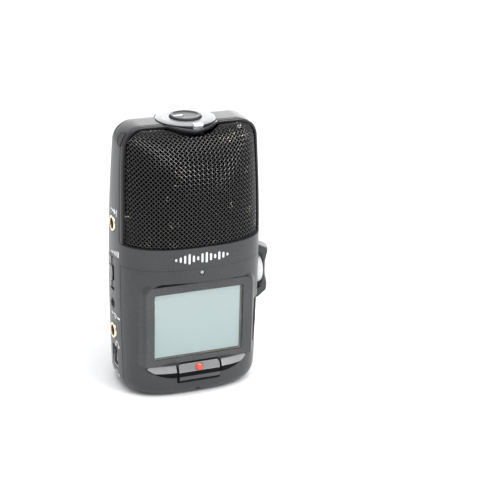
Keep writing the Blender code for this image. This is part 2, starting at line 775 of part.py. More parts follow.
def battery_bay():
    tray = part("battery_tray", box((-16.3, 1.3, 2.6), (16.3, 12.8, 56.0)),
                ((0.05, 0.05, 0.05), 0.6))
    room = box((-15.3, 2.3, 3.6), (15.3, 20, 55.0))
    combine(tray, cutter("tray_room", room), "DIFFERENCE")
    for i, x in enumerate((-CELL_X, CELL_X)):
        word = str(i + 1)
        flip = 1 if i == 0 else -1
        nub = 3.35 * flip
        low = 7.2 if flip > 0 else 5.2
        ends = [(0, 0), (6.6, 0), (CELL_R, 0.4), (CELL_R, 45.0), (2.7, 45.4),
                (2.7, 46.3), (0, 46.3)]
        heights = [(r, low + h) if flip > 0 else (r, low + 46.3 - h) for r, h in ends]
        part("battery_" + word, spun(heights, (x, CELL_Y, 0), (0, 0, 1), 16),
             ((0.1, 0.25, 0.45), 0.3, 0.4), (x, CELL_Y, low + 23))
        base = 4.15 if flip > 0 else 54.45
        part("battery_spring_" + word, coil(x, CELL_Y, base, flip * 2.4),
             ((0.7, 0.7, 0.72), 0.25, 1.0), (x, CELL_Y, base))
    link = box((-13.5, 6.5, 54.0), (-2.0, 13.0, 54.4))
    part("battery_link", link, ((0.7, 0.7, 0.72), 0.25, 1.0))


def coil(x, y, base, rise):
    rings = []
    steps = 24
    for i in range(steps + 1):
        t = i / steps
        angle = 2 * math.pi * 3 * t
        radius = 3.9 - 1.6 * t
        out = Vector((math.cos(angle), math.sin(angle), 0))
        middle = Vector((x, y, base + rise * t)) + out * radius
        up = Vector((0, 0, 1))
        rings.append([tuple(middle + out * a * 0.2 + up * b * 0.2)
                      for a, b in ((1, 0), (0, 1), (-1, 0), (0, -1))])
    return loft(rings)


def battery_door():
    rings = []
    runs = [-1 + i / 6 for i in range(13)]
    for z in (DOOR_LOW, 8, 18, 30, 42, DOOR_HIGH):
        outer = [(DOOR_X * r, depth_at(DOOR_X * r, z), z) for r in runs]
        inner = [(DOOR_X * r, depth_at(DOOR_X * r, z) - 1.8, z) for r in runs[::-1]]
        rings.append(outer + inner)
    y, z = DOOR_PIVOT
    door = part("battery_door", loft(rings), ((0.045, 0.045, 0.05), 0.35), (0, y, z))
    grip = slab((-5, 20.6, 46.5), (5, 30, 48.5), 0.9, 1, 3)
    combine(door, cutter("door_grip", grip), "DIFFERENCE")


def rear_parts():
    cone = spun([(0, 14.0), (4, 14.0), (4, 15.2), (6.3, 15.8), (6.3, 17.3), (5.6, 17.3),
                 (2.0, 16.4), (0, 16.6)], (0, 0, 61.25), (0, 1, 0), 20)
    part("speaker", cone, ((0.06, 0.06, 0.06), 0.5))
    socket = part("sd_socket", box((-13.3, -13.1, 3.6), (13.3, -9.6, 35.6)),
                  ((0.55, 0.56, 0.58), 0.3, 0.9))
    slot = box((-12.3, -12.7, 0), (12.3, -10.2, 34.9))
    combine(socket, cutter("card_slot", slot), "DIFFERENCE")
    outline = [(-12, 2.5), (12, 2.5), (12, 34.5), (-8, 34.5), (-12, 30.5)]
    rings = [[(x, y, z) for x, z in outline] for y in (-12.4, -10.5)]
    part("sd_card", loft(rings), ((0.02, 0.05, 0.14), 0.4))
    flap = part("sd_cover", slab((-13, -13.2, 0), (13, -9.5, 1.5), 0.3, 0, 1),
                ((0.04, 0.04, 0.044), 0.35), (0, *FLAP_PIVOT))
    grip = rod((0, -12.4, 0), (0, 0, 1), 1.6, -2, 0.4, 12)
    combine(flap, cutter("flap_grip", grip), "DIFFERENCE")
    bush = spun([(0, 7.4), (3.8, 7.4), (3.8, 0.15), (3.1, 0.15), (3.1, 6.4), (0, 6.4)],
                (0, BUSH_Y, 0), (0, 0, 1), 24)
    part("tripod_bush", bush, ((0.7, 0.6, 0.35), 0.35, 1.0))


def main():
    wipe()
    center_frame()
    front_cover()
    rear_cover()
    grille("front_grille", -1)
    grille("rear_grille", 1)
    rim("front_grille_rim", -1)
    rim("rear_grille_rim", 1)
    rim_tabs()
    display()
    trims()
    record_key()
    mode_dial()
    microphones()
    boards()
    left_side()
    gain_control()
    panel_keys()
    battery_bay()
    battery_door()
    rear_parts()
    case_screws()


main()
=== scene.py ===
import math

import bmesh
import bpy
import numpy as np
from mathutils import Matrix, Vector


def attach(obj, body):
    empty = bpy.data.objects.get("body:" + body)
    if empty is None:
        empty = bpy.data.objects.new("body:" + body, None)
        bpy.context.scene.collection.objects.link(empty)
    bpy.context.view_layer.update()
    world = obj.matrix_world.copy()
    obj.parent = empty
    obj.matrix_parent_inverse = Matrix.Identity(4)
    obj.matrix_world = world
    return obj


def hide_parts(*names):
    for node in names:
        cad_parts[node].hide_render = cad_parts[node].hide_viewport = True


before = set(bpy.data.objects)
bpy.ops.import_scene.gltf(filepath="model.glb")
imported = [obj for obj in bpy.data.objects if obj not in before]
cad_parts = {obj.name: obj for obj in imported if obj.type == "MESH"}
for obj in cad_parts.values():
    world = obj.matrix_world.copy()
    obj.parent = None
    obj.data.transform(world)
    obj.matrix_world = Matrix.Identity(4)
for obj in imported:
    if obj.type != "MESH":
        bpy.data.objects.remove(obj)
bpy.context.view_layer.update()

# The case's shape is written in millimetres about its own middle, as the solids are.
MM = 0.001
CASE_X = -3.1
PLAN_POWER = 2.63
TOP_Z = 112.3
CROWN_R = 8.2
FOOT_SIDE_R = 6.6
FOOT_FRONT_R = 4.3
WALL = 1.9
GAP = 0.3
BAND_Y = 7.5
BAND_TAPER = 1.9
BAND_ROUND = 0.16
BELT_LOW = 56.55
BELT_HIGH = 65.3
COVER_TOP = 56.49
SEAM = 0.12
MESH_INSET = 1.45
MESH_LOW = 65.5
MESH_STEP_Y = 0.6
MESH_REACH_Y = 20.9
MESH_BEND_Z = 78.0
PLATE_Y = 18.55
PLATE_FLAT = 22.7
PLATE_FOLD = 24.9
PLATE_TOP = 49.15
PLATE_STEP = 1.7
PLATE_X = 0.4
OPEN_X = 19.0
OPEN_LOW = 17.3
OPEN_HIGH = 45.8
PLATE_LOW = 14.75
KEY_X = 9.1
KEY_LOW = 6.4
KEY_HIGH = 14.7
JACK_Y = 0.5
LINE_Z = 71.5
REMOTE_Z = 37.0
PHONES_Z = 24.7
JACK_BORE = 2.05
DOOR_X = 17.2
WHEEL_Z = 45.05
WHEEL_R = 6.6


# ---------------------------------------------------------------- case shape

def smooth(t):
    t = min(max(t, 0.0), 1.0)
    return t * t * (3 - 2 * t)


def side_reach(z):
    return 30.52 - 2.02 * ((z - 51.5) / 57) ** 2


def front_reach(z):
    return 21.27 - 1.15 * ((z - 56.5) / 57) ** 2 - 1.1 * smooth((26 - z) / 26)


def power(z):
    """How square the plan is: squarer towards the foot."""
    return PLAN_POWER + 0.32 * smooth((30 - z) / 30)


def band_half(z):
    """Half depth of the band; it narrows up the sides of the grilles."""
    return BAND_Y - BAND_TAPER * smooth((z - 66) / 40)


def rounding(depth, radius):
    depth = min(max(depth, 0.0), radius)
    return radius - math.sqrt(max(radius ** 2 - depth ** 2, 0.0))


def halves(z, skin=0.0):
    rise = z - skin
    side = side_reach(z) - skin
    side -= rounding(FOOT_SIDE_R - skin - rise, FOOT_SIDE_R - skin)
    side -= rounding(z - (TOP_Z - CROWN_R), CROWN_R - skin)
    foot = FOOT_FRONT_R - skin
    front = front_reach(z) - skin - rounding(foot - rise, foot)
    return side, front


def depth_at(x, z, skin=0.0):
    side, front = halves(z, skin)
    return front * max(1 - abs(x / side) ** power(z), 0.0) ** (1 / power(z))


def width_at(y, z, skin=0.0):
    side, front = halves(z, skin)
    return side * max(1 - abs(y / front) ** power(z), 0.0) ** (1 / power(z))


def plan_ring(z, skin=0.0, count=176, limit=99.0):
    side, front = halves(z, skin)
    ring = []
    for i in range(count):
        turn = 2 * math.pi * (i + 0.5) / count
        c = math.cos(turn)
        s = math.sin(turn)
        x = side * math.copysign(abs(c) ** (2 / power(z)), c)
        y = front * math.copysign(abs(s) ** (2 / power(z)), s)
        ring.append((x, max(y, -limit), z))
    return ring


def arc_levels(start, radius, steps):
    return [start + radius * math.sin(math.pi / 2 * i / steps) for i in range(1, steps + 1)]


def foot_levels(radius, steps):
    return [radius * (1 - math.cos(math.pi / 2 * i / steps)) for i in range(steps + 1)]


def mesh_edge(z):
    start = TOP_Z - CROWN_R
    if z <= start:
        return width_at(band_half(z), z) - MESH_INSET
    radius = CROWN_R - MESH_INSET
    run = math.sqrt(max(radius ** 2 - (z - start) ** 2, 0.0))
    return width_at(band_half(start), start) - CROWN_R + run


def mesh_depth(x, z):
    run = min(abs(x) / max(mesh_edge(z), 0.1), 1.0)
    t = (z - MESH_BEND_Z) / (TOP_Z - MESH_INSET - MESH_BEND_Z)
    t = min(max(t, 0.0), 1.0)
    bulge = (1 - t ** 2.8) ** (1 / 2.6)
    arc = (1 - (0.969 * run) ** PLAN_POWER) ** (1 / PLAN_POWER)
    swell = (arc - 0.382) / (1 - 0.382)
    edge = band_half(z) + MESH_STEP_Y
    return edge + (MESH_REACH_Y - edge) * swell * bulge


# ---------------------------------------------------------------- materials

GRAIN_DEPTH = 0.00004


def nodes_of(name):
    made = bpy.data.materials.new(name)
    made.use_nodes = True
    tree = made.node_tree
    return made, tree, tree.nodes["Principled BSDF"]


def feed(tree, node, feeds):
    for key, source in feeds.items():
        tree.links.new(source, node.inputs[key])


def added(tree, kind, feeds=None, **values):
    """New shader node: feeds are linked to its inputs, and values are set on them."""
    node = tree.nodes.new("ShaderNode" + kind)
    feed(tree, node, feeds or {})
    for key, value in values.items():
        node.inputs[key.replace("_", " ")].default_value = value
    return node


def own_space(tree):
    return added(tree, "TexCoord").outputs["Object"]


def own_height(tree):
    return added(tree, "SeparateXYZ", {"Vector": own_space(tree)}).outputs["Z"]


def noise(tree, scale, detail=4.0, rough=0.55):
    grain = added(tree, "TexNoise", {"Vector": own_space(tree)}, Scale=scale, Detail=detail, Roughness=rough)
    return grain.outputs["Fac"]


def spread(tree, value, low, high, start=0.3, end=0.7, kind="LINEAR"):
    """Value carried from start..end to low..high."""
    change = added(tree, "MapRange", {"Value": value}, From_Min=start, From_Max=end, To_Min=low, To_Max=high)
    change.interpolation_type = kind
    return change.outputs["Result"]


def combined(tree, operation, first, second):
    step = tree.nodes.new("ShaderNodeMath")
    step.operation = operation
    tree.links.new(first, step.inputs[0])
    tree.links.new(second, step.inputs[1])
    return step.outputs["Value"]


def tint(tree, value, first, second, start=0.3, end=0.7):
    ramp = added(tree, "ValToRGB", {"Fac": value})
    stops = ramp.color_ramp.elements
    stops[0].position = start
    stops[0].color = (*first, 1)
    stops[1].position = end
    stops[1].color = (*second, 1)
    return ramp.outputs["Color"]


def finish_of(name, colour, rough, metal=0.0, vary=0.12, grain=900.0, bump=0.02,
              edge=0.0, coat=0.0, specular=0.5):
    """Moulded or machined surface: grain, faint colour drift, soft edges."""
    made, tree, shader = nodes_of(name)
    fine = noise(tree, grain)
    low = tuple(c * (1 - vary) for c in colour)
    high = tuple(min(c * (1 + vary), 1.0) for c in colour)
    dent = added(tree, "Bump", {"Height": fine}, Strength=bump * 10, Distance=GRAIN_DEPTH)
    if edge:
        soft = added(tree, "Bevel", Radius=edge * MM)
        soft.samples = 6
        feed(tree, dent, {"Normal": soft.outputs["Normal"]})
    feed(tree, shader, {
        "Base Color": tint(tree, noise(tree, 60.0, 2.0), low, high),
        "Roughness": spread(tree, fine, rough * 0.85, rough * 1.15),
        "Normal": dent.outputs["Normal"],
    })
    for key, value in (("Metallic", metal), ("Specular IOR Level", specular),
                       ("Coat Weight", coat), ("Coat Roughness", 0.08)):
        shader.inputs[key].default_value = value
    return made


def wire_finish():
    """Black wire with painted glints: a few bright metallic spots, gathered in patches, standing in for
    highlights on the weave.
    """
    made, tree, shader = nodes_of("black_wire_painted_glints")
    fine = noise(tree, 2500.0, 2.0)
    # Painted glints: patches of noise pick out bright gold metal spots on the wires.
    glint_patch = spread(tree, noise(tree, 110.0, 3.0, 0.6), 0.0, 1.0, 0.56, 0.64)
    painted_glint = combined(tree, "MULTIPLY", glint_patch, spread(tree, fine, 0.0, 1.0, 0.60, 0.625))
    feed(tree, shader, {
        "Base Color": tint(tree, painted_glint, (0.02, 0.02, 0.021), (0.95, 0.86, 0.68), 0.3, 0.8),
        "Metallic": painted_glint,
        "Roughness": spread(tree, fine, 0.2, 0.3),
    })
    shader.inputs["Specular IOR Level"].default_value = 1.0
    return made


def screen_finish():
    """Reflective liquid crystal: pale grey-green, painted paler towards its top as painted light from above.
    """
    made, tree, shader = nodes_of("liquid_crystal")
    # Painted light: the tint rises from the darker grey-green at the foot to the paler one at the top.
    rise = spread(tree, own_height(tree), 0.0, 1.0, 0.016, 0.046)
    feed(tree, shader, {
        "Base Color": tint(tree, rise, (0.60, 0.72, 0.72), (0.70, 0.80, 0.79), 0.0, 1.0),
        "Roughness": spread(tree, noise(tree, 3000.0), 0.25, 0.4),
    })
    return made


def glass_finish():
    made, tree, shader = nodes_of("clear_window")
    feed(tree, shader, {"Roughness": spread(tree, noise(tree, 200.0), 0.02, 0.06)})
    shader.inputs["Base Color"].default_value = (0.95, 0.98, 0.98, 1)
    shader.inputs["Transmission Weight"].default_value = 1.0
    shader.inputs["IOR"].default_value = 1.45
    return made


def cell_finish():
    """Battery sleeve: dark body with a lighter band at one end."""
    made, tree, shader = nodes_of("cell_sleeve")
    feed(tree, shader, {
        "Base Color": tint(tree, own_height(tree), (0.03, 0.06, 0.14), (0.65, 0.45, 0.18), 0.0395, 0.0397),
        "Roughness": spread(tree, noise(tree, 400.0), 0.25, 0.35),
    })
    shader.inputs["Metallic"].default_value = 0.6
    return made


def board_finish():
    """Dark green solder mask over a net of lighter traces."""
    made, tree, shader = nodes_of("circuit_board")
    cells = added(tree, "TexVoronoi", {"Vector": own_space(tree)}, Scale=450.0)
    cells.feature = "DISTANCE_TO_EDGE"
    distance = cells.outputs["Distance"]
    feed(tree, shader, {
        "Base Color": tint(tree, distance, (0.02, 0.20, 0.08), (0.01, 0.09, 0.04), 0.02, 0.07),
        "Roughness": spread(tree, noise(tree, 700.0), 0.3, 0.5),
    })
    return made


LOOK = {
    "shell": finish_of("black_shell", (0.032, 0.033, 0.036), 0.3, grain=2600, bump=0.03, edge=0.1),
    "gloss": finish_of("black_gloss", (0.016, 0.016, 0.017), 0.12, grain=1500, bump=0.01, edge=0.2),
    "rim": finish_of("rim_gloss", (0.02, 0.02, 0.022), 0.22, grain=1800, bump=0.015),
    "tab": finish_of("tab_rubber", (0.014, 0.014, 0.015), 0.45, grain=1800, bump=0.03),
    # Darker copy of the gold: painted shade inside the jack holes.
    "bore": finish_of("jack_bore_painted_shade", (0.16, 0.11, 0.05), 0.4, metal=1.0, grain=1500, bump=0.03),
    "facet": finish_of("trim_facet", (0.46, 0.465, 0.475), 0.2, 0.9, 0.08, 1500, 0.01, edge=0.08),
    # Display plate tone, a little lighter than the shell: partly the plate's own finish, partly painted
    # light that evens out the shade on its turned flanks.
    "plate": finish_of("display_plate_with_painted_light", (0.05, 0.051, 0.055), 0.26, grain=2600, bump=0.02, edge=0.1),
    "smoke": finish_of("smoke_chrome", (0.36, 0.365, 0.375), 0.2, 0.9, 0.08, 1500, 0.01, edge=0.08),
    # Darker copy of the smoke chrome: painted shade for the record key's lower band.
    "smoke_shaded": finish_of("smoke_chrome_painted_shade", (0.10, 0.10, 0.105), 0.2, 0.9, 0.08, 1500, 0.01, edge=0.08),
    "frame": finish_of("pale_brass", (0.78, 0.70, 0.50), 0.3, 1.0, 0.1, 1500, 0.03),
    # Matt black: the side panel's own finish, and painted shade on the record key, the wings, the rocker's
    # flank and the display ledge.
    "matt_black_and_painted_shade": finish_of("matt_panel_and_painted_shade", (0.008, 0.008, 0.009), 0.7, grain=1500, bump=0.05, specular=0.05),
    # Near-black sheet behind the grilles: painted shade.
    "shade_sheet": finish_of("painted_shade_sheet", (0.0015, 0.0015, 0.0015), 0.9, grain=3000, bump=0.2, specular=0.02),
    "gold": finish_of("gold_plate", (0.93, 0.82, 0.60), 0.22, 1.0, 0.08, 1500, 0.02),
    "steel": finish_of("plated_steel", (0.62, 0.62, 0.63), 0.28, 1.0, 0.1, 1200, 0.03),
    "dark_steel": finish_of("black_steel", (0.10, 0.10, 0.105), 0.35, 1.0, 0.2, 1200, 0.03),
    "silver": finish_of("satin_silver", (0.36, 0.37, 0.385), 0.36, 0.6, 0.05, 3500, 0.04, edge=0.12),
    "knob": finish_of("dark_knob", (0.045, 0.046, 0.05), 0.36, grain=2500, bump=0.04, edge=0.1),
    "rocker": finish_of("grey_rocker", (0.13, 0.135, 0.14), 0.16, grain=1500, bump=0.01, edge=0.2),
    "pale": finish_of("pale_wheel", (0.72, 0.73, 0.75), 0.35, grain=1500, bump=0.02, edge=0.12),
    "white": finish_of("print_white", (0.82, 0.83, 0.84), 0.45, grain=2000, bump=0.02),
    "lens": finish_of("lamp_white", (0.78, 0.84, 0.88), 0.22, grain=900, bump=0.02, edge=0.15),
    "red": finish_of("red_lens", (0.80, 0.075, 0.045), 0.25, grain=900, bump=0.02, coat=0.6),
    "blue": finish_of("clip_lens", (0.30, 0.35, 0.44), 0.2, grain=900, bump=0.02, coat=0.5),
    "inner": finish_of("inner_plastic", (0.03, 0.03, 0.03), 0.55, grain=900, bump=0.1),
    "pale_inner": finish_of("switch_body", (0.35, 0.35, 0.34), 0.5, grain=900, bump=0.1),
    "brass": finish_of("turned_brass", (0.72, 0.55, 0.28), 0.3, 1.0, 0.1, 1500, 0.05),
    "card": finish_of("card_blue", (0.02, 0.05, 0.16), 0.4, grain=1500, bump=0.1),
    "wire": wire_finish(),
    "screen": screen_finish(),
    "glass": glass_finish(),
    "cell": cell_finish(),
    "board": board_finish(),
}


# ---------------------------------------------------------------- mesh tools

def loft(rings, closed=False):
    size = len(rings[0])
    points = [p for ring in rings for p in ring]
    faces = []
    rows = len(rings)
    for row in range(rows if closed else rows - 1):
        low = row * size
        high = (row + 1) % rows * size
        for i in range(size):
            j = (i + 1) % size
            faces.append([low + i, low + j, high + j, high + i])
    if not closed:
        faces.append(list(range(size))[::-1])
        faces.append([(rows - 1) * size + i for i in range(size)])
    return points, faces


def merged(shapes):
    points = []
    faces = []
    for more_points, more_faces in shapes:
        start = len(points)
        points.extend(more_points)
        faces.extend([[start + i for i in face] for face in more_faces])
    return points, faces


def box(low, high):
    x0, y0, z0 = low
    x1, y1, z1 = high
    base = [(x0, y0), (x1, y0), (x1, y1), (x0, y1)]
    return loft([[(x, y, z0) for x, y in base], [(x, y, z1) for x, y in base]])


def rounded_outline(half_u, half_v, radius, steps=6):
    outline = []
    for quarter, (su, sv) in enumerate(((1, 1), (-1, 1), (-1, -1), (1, -1))):
        for step in range(steps + 1):
            turn = math.radians(90 * (quarter + step / steps))
            outline.append((su * (half_u - radius) + radius * math.cos(turn),
                            sv * (half_v - radius) + radius * math.sin(turn)))
    return outline


def slab(low, high, radius, axis, steps=6):
    """Box whose four edges along one axis are rounded."""
    a, b = [i for i in range(3) if i != axis]
    middle = [(low[i] + high[i]) / 2 for i in range(3)]
    outline = rounded_outline((high[a] - low[a]) / 2, (high[b] - low[b]) / 2, radius, steps)
    rings = []
    for level in (low[axis], high[axis]):
        ring = []
        for u, v in outline:
            point = [0, 0, 0]
            point[a] = middle[a] + u
            point[b] = middle[b] + v
            point[axis] = level
            ring.append(tuple(point))
        rings.append(ring)
    return loft(rings)


def spun(profile, centre, axis, count=64, teeth=0.0):
    """Solid of revolution; a third value of 1 puts teeth on that ring."""
    turn = Vector((0, 0, 1)).rotation_difference(Vector(axis)).to_matrix()
    centre = Vector(centre)
    points = []
    rows = []
    for entry in profile:
        radius, height = entry[:2]
        if radius == 0:
            rows.append([len(points)])
            points.append(tuple(centre + turn @ Vector((0, 0, height))))
            continue
        rows.append(list(range(len(points), len(points) + count)))
        for i in range(count):
            bite = teeth if len(entry) > 2 and i % 4 in (2, 3) else 0.0
            angle = 2 * math.pi * i / count
            flat = Vector((math.cos(angle), math.sin(angle), 0)) * (radius - bite)
            points.append(tuple(centre + turn @ (flat + Vector((0, 0, height)))))
    faces = []
    for low, high in zip(rows, rows[1:]):
        for i in range(count):
            j = (i + 1) % count
            if len(low) == 1:
                faces.append([low[0], high[j], high[i]])
            elif len(high) == 1:
                faces.append([low[i], low[j], high[0]])
            else:
                faces.append([low[i], low[j], high[j], high[i]])
    return points, faces


def looped(profile, centre, axis, count=64):
    """Tube of revolution whose profile joins its own start."""
    points, faces = spun(list(profile) + [profile[0]], centre, axis, count)
    size = len(points) - count
    return points[:size], [[i % size for i in face] for face in faces]


def rod(centre, axis, radius, low, high, count=48):
    return spun([(0, low), (radius, low), (radius, high), (0, high)], centre, axis, count)


def mesh_from(name, shape):
    points, faces = shape
    mesh = bpy.data.meshes.new(name)
    mesh.from_pydata([((x + CASE_X) * MM, y * MM, z * MM) for x, y, z in points], [], faces)
    work = bmesh.new()
    work.from_mesh(mesh)
    bmesh.ops.recalc_face_normals(work, faces=work.faces)
    work.to_mesh(mesh)
    work.free()
    return mesh


def carved(name, shape, steps):
    """Mesh of a shape after Boolean steps of (operation, shape)."""
    scene = bpy.context.scene.collection
    base = bpy.data.objects.new(name, mesh_from(name, shape))
    scene.objects.link(base)
    tools = []
    for operation, other in steps:
        tool = bpy.data.objects.new(name + "_tool", mesh_from(name + "_tool", other))
        scene.objects.link(tool)
        change = base.modifiers.new("cut", "BOOLEAN")
        change.operation = operation
        change.solver = "EXACT"
        change.object = tool
        tools.append(tool)
    graph = bpy.context.evaluated_depsgraph_get()
    mesh = bpy.data.meshes.new_from_object(base.evaluated_get(graph))
    for item in tools + [base]:
        bpy.data.objects.remove(item, do_unlink=True)
    return mesh


def place(name, mesh, look, body, replaces=(), sharp=30, other=None, third=None):
    """Add one visible piece; other and third are (look, test) for faces that differ."""
    if isinstance(mesh, tuple):
        mesh = mesh_from(name, mesh)
    mesh.name = name
    for face in mesh.polygons:
        face.use_smooth = True
    mesh.set_sharp_from_angle(angle=math.radians(sharp))
    mesh.materials.clear()
    mesh.materials.append(LOOK[look])
    for index, (extra, chosen) in enumerate([pair for pair in (other, third) if pair], 1):
        mesh.materials.append(LOOK[extra])
        for face in mesh.polygons:
            middle = face.center / MM - Vector((CASE_X, 0, 0))
            if chosen(middle, face.normal):
                face.material_index = index
    item = bpy.data.objects.new(name, mesh)
    bpy.context.scene.collection.objects.link(item)
    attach(item, body)
    if replaces:
        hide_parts(*replaces)


def repaint(node, look):
    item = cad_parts[node]
    for i in range(len(item.material_slots)):
        item.material_slots[i].material = LOOK[look]


# ---------------------------------------------------------------- case shells

SIDE_RUNS = [0.0, 0.35, 0.7, 0.84, 0.87, 0.9, 0.925, 0.95, 0.97, 0.985, 0.995, 1.01]


def edge_drop(run, z):
    """The band's long edges are rounded beside the grilles."""
    radius = BAND_ROUND * band_half(z)
    return rounding((abs(run) - 1 + BAND_ROUND) * band_half(z), radius) * smooth((z - 65.6) / 1.5)


def band_ring(z, turn):
    """Plan ring with fine steps across the band; turn is the angle up the crown's corner."""
    runs = [-r for r in SIDE_RUNS[:0:-1]] + SIDE_RUNS
    half = band_half(z)
    wide = width_at(runs[-1] * half, z)
    right = []
    for run in runs:
        y = run * half
        drop = edge_drop(run, z)
        right.append((width_at(y, z) - drop * math.cos(turn), y, z - drop * math.sin(turn)))
    arc = []
    for i in range(1, 80):
        x = wide * math.cos(math.pi * i / 80)
        arc.append((x, depth_at(x, z), z))
    left = [(-x, y, h) for x, y, h in right[::-1]]
    return right + arc + left + [(-x, -y, h) for x, y, h in arc]


def case_solid():
    start = TOP_Z - CROWN_R
    levels = [(z, 0.0) for z in foot_levels(FOOT_SIDE_R, 14) + list(range(12, 64, 4))]
    levels += [(z, 0.0) for z in [65.2, 65.6, 65.9, 66.3, 66.8, 67.4] + list(range(70, 100, 3))]
    levels += [(start + CROWN_R * math.sin(math.pi / 2 * i / 18), math.pi / 2 * i / 18) for i in range(19)]
    rings = [band_ring(z, turn) for z, turn in levels]
    points, faces = loft(rings)
    side = 2 * len(SIDE_RUNS) - 1
    base = (len(rings) - 1) * len(rings[0])
    back = list(range(base + side - 1, base + side + 80))
    front = [base + side + 79 + side - 1 + i for i in range(80)] + [base]
    strips = [[base + i, base + i + 1, base + 2 * side + 77 - i, base + 2 * side + 78 - i]
              for i in range(side - 1)]
    return points, faces[:-1] + strips + [back, front]


def case_hollow(skin, top=None, limit=99.0):
    levels = [skin + 0.02 + z for z in foot_levels(FOOT_FRONT_R - skin, 5)] + [8.1, 21, 36, 51]
    if top is None:
        levels += [66, 78, 90, TOP_Z - CROWN_R] + arc_levels(TOP_Z - CROWN_R, CROWN_R - skin, 8)
    else:
        levels.append(top)
    return loft([plan_ring(z, skin, 96, limit) for z in levels])


def tab_shape(side, length, depth, outer, inner, front=0.0):
    start = TOP_Z - CROWN_R
    middle = math.radians(25)
    reach = width_at(band_half(start) - 3, start)
    rings = []
    for i in range(25):
        run = -1 + i / 12
        turn = middle + run * length / CROWN_R
        back = depth * max(1 - run ** 2, 0.02) ** 0.5
        ring = []
        for y, radius in ((-front, outer), (back, outer), (back, inner), (-front, inner)):
            x = reach - CROWN_R + radius * math.cos(turn)
            z = start + radius * math.sin(turn)
            ring.append((side * x, y - band_half(z) + BAND_ROUND * 3, z))
        rings.append(ring)
    return loft(rings)


PANEL_ROWS = [16, 17, 18, 18.8, 19.4, 19.8, 20.2, 24, 26, 28, 30, 32, 34]


def panel_front(z, edge, low):
    """Front edge of the control panel, which steps back at its lower end."""
    return edge - 1.5 * smooth((35 - z) / 11) + 7.7 * (1 - smooth((z - low) / 5.6))


def panel_opening():
    rings = []
    for z in [15.0] + PANEL_ROWS + [37.2]:
        front = panel_front(z, -14.5, 14.3)
        rings.append([(20, front, z), (40, front, z), (40, 4.5, z), (20, 4.5, z)])
    return loft(rings)


def frame_openings():
    inside = 20.0
    shapes = [
        rod((0, JACK_Y, LINE_Z), (-1, 0, 0), 3.6, inside, 40),
        rod((0, JACK_Y, PHONES_Z), (-1, 0, 0), 3.6, inside, 40),
        rod((0, JACK_Y, REMOTE_Z), (-1, 0, 0), 2.3, inside, 40),
        slab((-40, -2.7, 8.2), (-inside, 3.3, 18.0), 0.8, 0),
        slab((-40, -2.0, 42.9), (-inside, 4.4, 57.7), 0.8, 0),
        rod((0, 0, WHEEL_Z), (1, 0, 0), WHEEL_R + 0.35, inside, 40, 72),
        panel_opening(),
        slab((inside, -2.6, 8.3), (40, 2.6, 14.1), 0.8, 0),
        rod((0, -2.9, 0), (0, 0, 1), 4.1, -3, 4),
    ]
    for x in (-4.5, 0, 4.5):
        shapes.append(slab((x - 0.5, 14, 58.2), (x + 0.5, 30, 64.3), 0.45, 1))
    for side in (-1, 1):
        shapes.append(tab_shape(side, 3.2, 4.75, CROWN_R + 3, CROWN_R - 0.95, 2.0))
    return merged(shapes)


def make_frame():
    levels = [-5, 66] + list(range(68, 107, 2)) + [130]
    corners = ((-50, -1), (50, -1), (50, 1), (-50, 1))
    band = loft([[(x, side * band_half(z), z) for x, side in corners] for z in levels])
    belt = box((-60, -40, BELT_LOW), (60, 40, BELT_HIGH))
    plinth = spun([(0, 108.9), (10.0, 108.9), (10.6, 109.3), (11.3, 110.4), (11.6, 111.4),
                   (11.6, 112.2), (0, 112.2)], (0, 0, 0), (0, 0, 1), 112)
    zone = carved("zone", band, [("UNION", belt)])
    spots = [tuple(v.co / MM - Vector((CASE_X, 0, 0))) for v in zone.vertices]
    zone_shape = (spots, [list(f.vertices) for f in zone.polygons])
    steps = [
        ("INTERSECT", zone_shape),
        ("UNION", plinth),
        ("DIFFERENCE", case_hollow(WALL)),
        ("UNION", rod((0, 0, 0), (0, 0, 1), 8.0, 109.2, 111.5)),
        ("DIFFERENCE", rod((0, 0, 0), (0, 0, 1), 2.3, 100, 112.6)),
        ("DIFFERENCE", rod((0, 0, 0), (0, 0, 1), 12.3, 112.1, 116, 112)),
        ("DIFFERENCE", box((-1.05, -14, 110.1), (3.35, -9.9, 112.4))),
        ("DIFFERENCE", frame_openings()),
    ]
    mesh = carved("case_frame", case_solid(), steps)
    place("case_frame", mesh, "shell", "case", ["center_frame"])


def plate_mask(x, z):
    """1 on the flat display plate, 0 off it, with a straight flank and step."""
    corner = 3.6
    side = abs(x - PLATE_X) - (PLATE_FLAT - corner)
    top = z - (PLATE_TOP - corner)
    if z < PLATE_LOW:
        return 0.0
    if side > 0 and top > 0:
        out = math.hypot(side, top) - corner
        up_share = math.atan2(top, side) / (math.pi / 2)
    else:
        out = max(side, top) - corner
        up_share = 1.0 if top > side else 0.0
    step = PLATE_STEP * (1.1 - 0.4 * smooth((x + 12) / 26))
    width = (PLATE_FOLD - PLATE_FLAT) * (1 - up_share) + step * up_share
    return 1 - min(max(out / width, 0.0), 1.0)


def front_face(x, z):
    base = depth_at(x, z)
    mask = plate_mask(x, z)
    return base + (PLATE_Y - base) * mask


def cover_ring(z, facing, drawn=0.0, count=120):
    """Closed D-shaped section with a small round at the joint line."""
    joint = BAND_Y + SEAM
    edge = width_at(joint, z) - drawn
    ring = []
    for i in range(count + 1):
        run = -math.cos(math.pi * i / count)
        x = run * edge
        y = front_face(x, z) if facing < 0 else depth_at(x, z)
        y = max(y - drawn, joint + 0.25)
        ring.append((x, facing * y, z))
    soft = 0.15
    right = [(edge - soft * (1 - math.cos(a)), facing * (joint + soft * (1 - math.sin(a))), z)
             for a in (math.radians(30), math.radians(60), math.radians(90))]
    left = [(-x, y, z) for x, y, z in right[::-1]]
    return ring + right + left


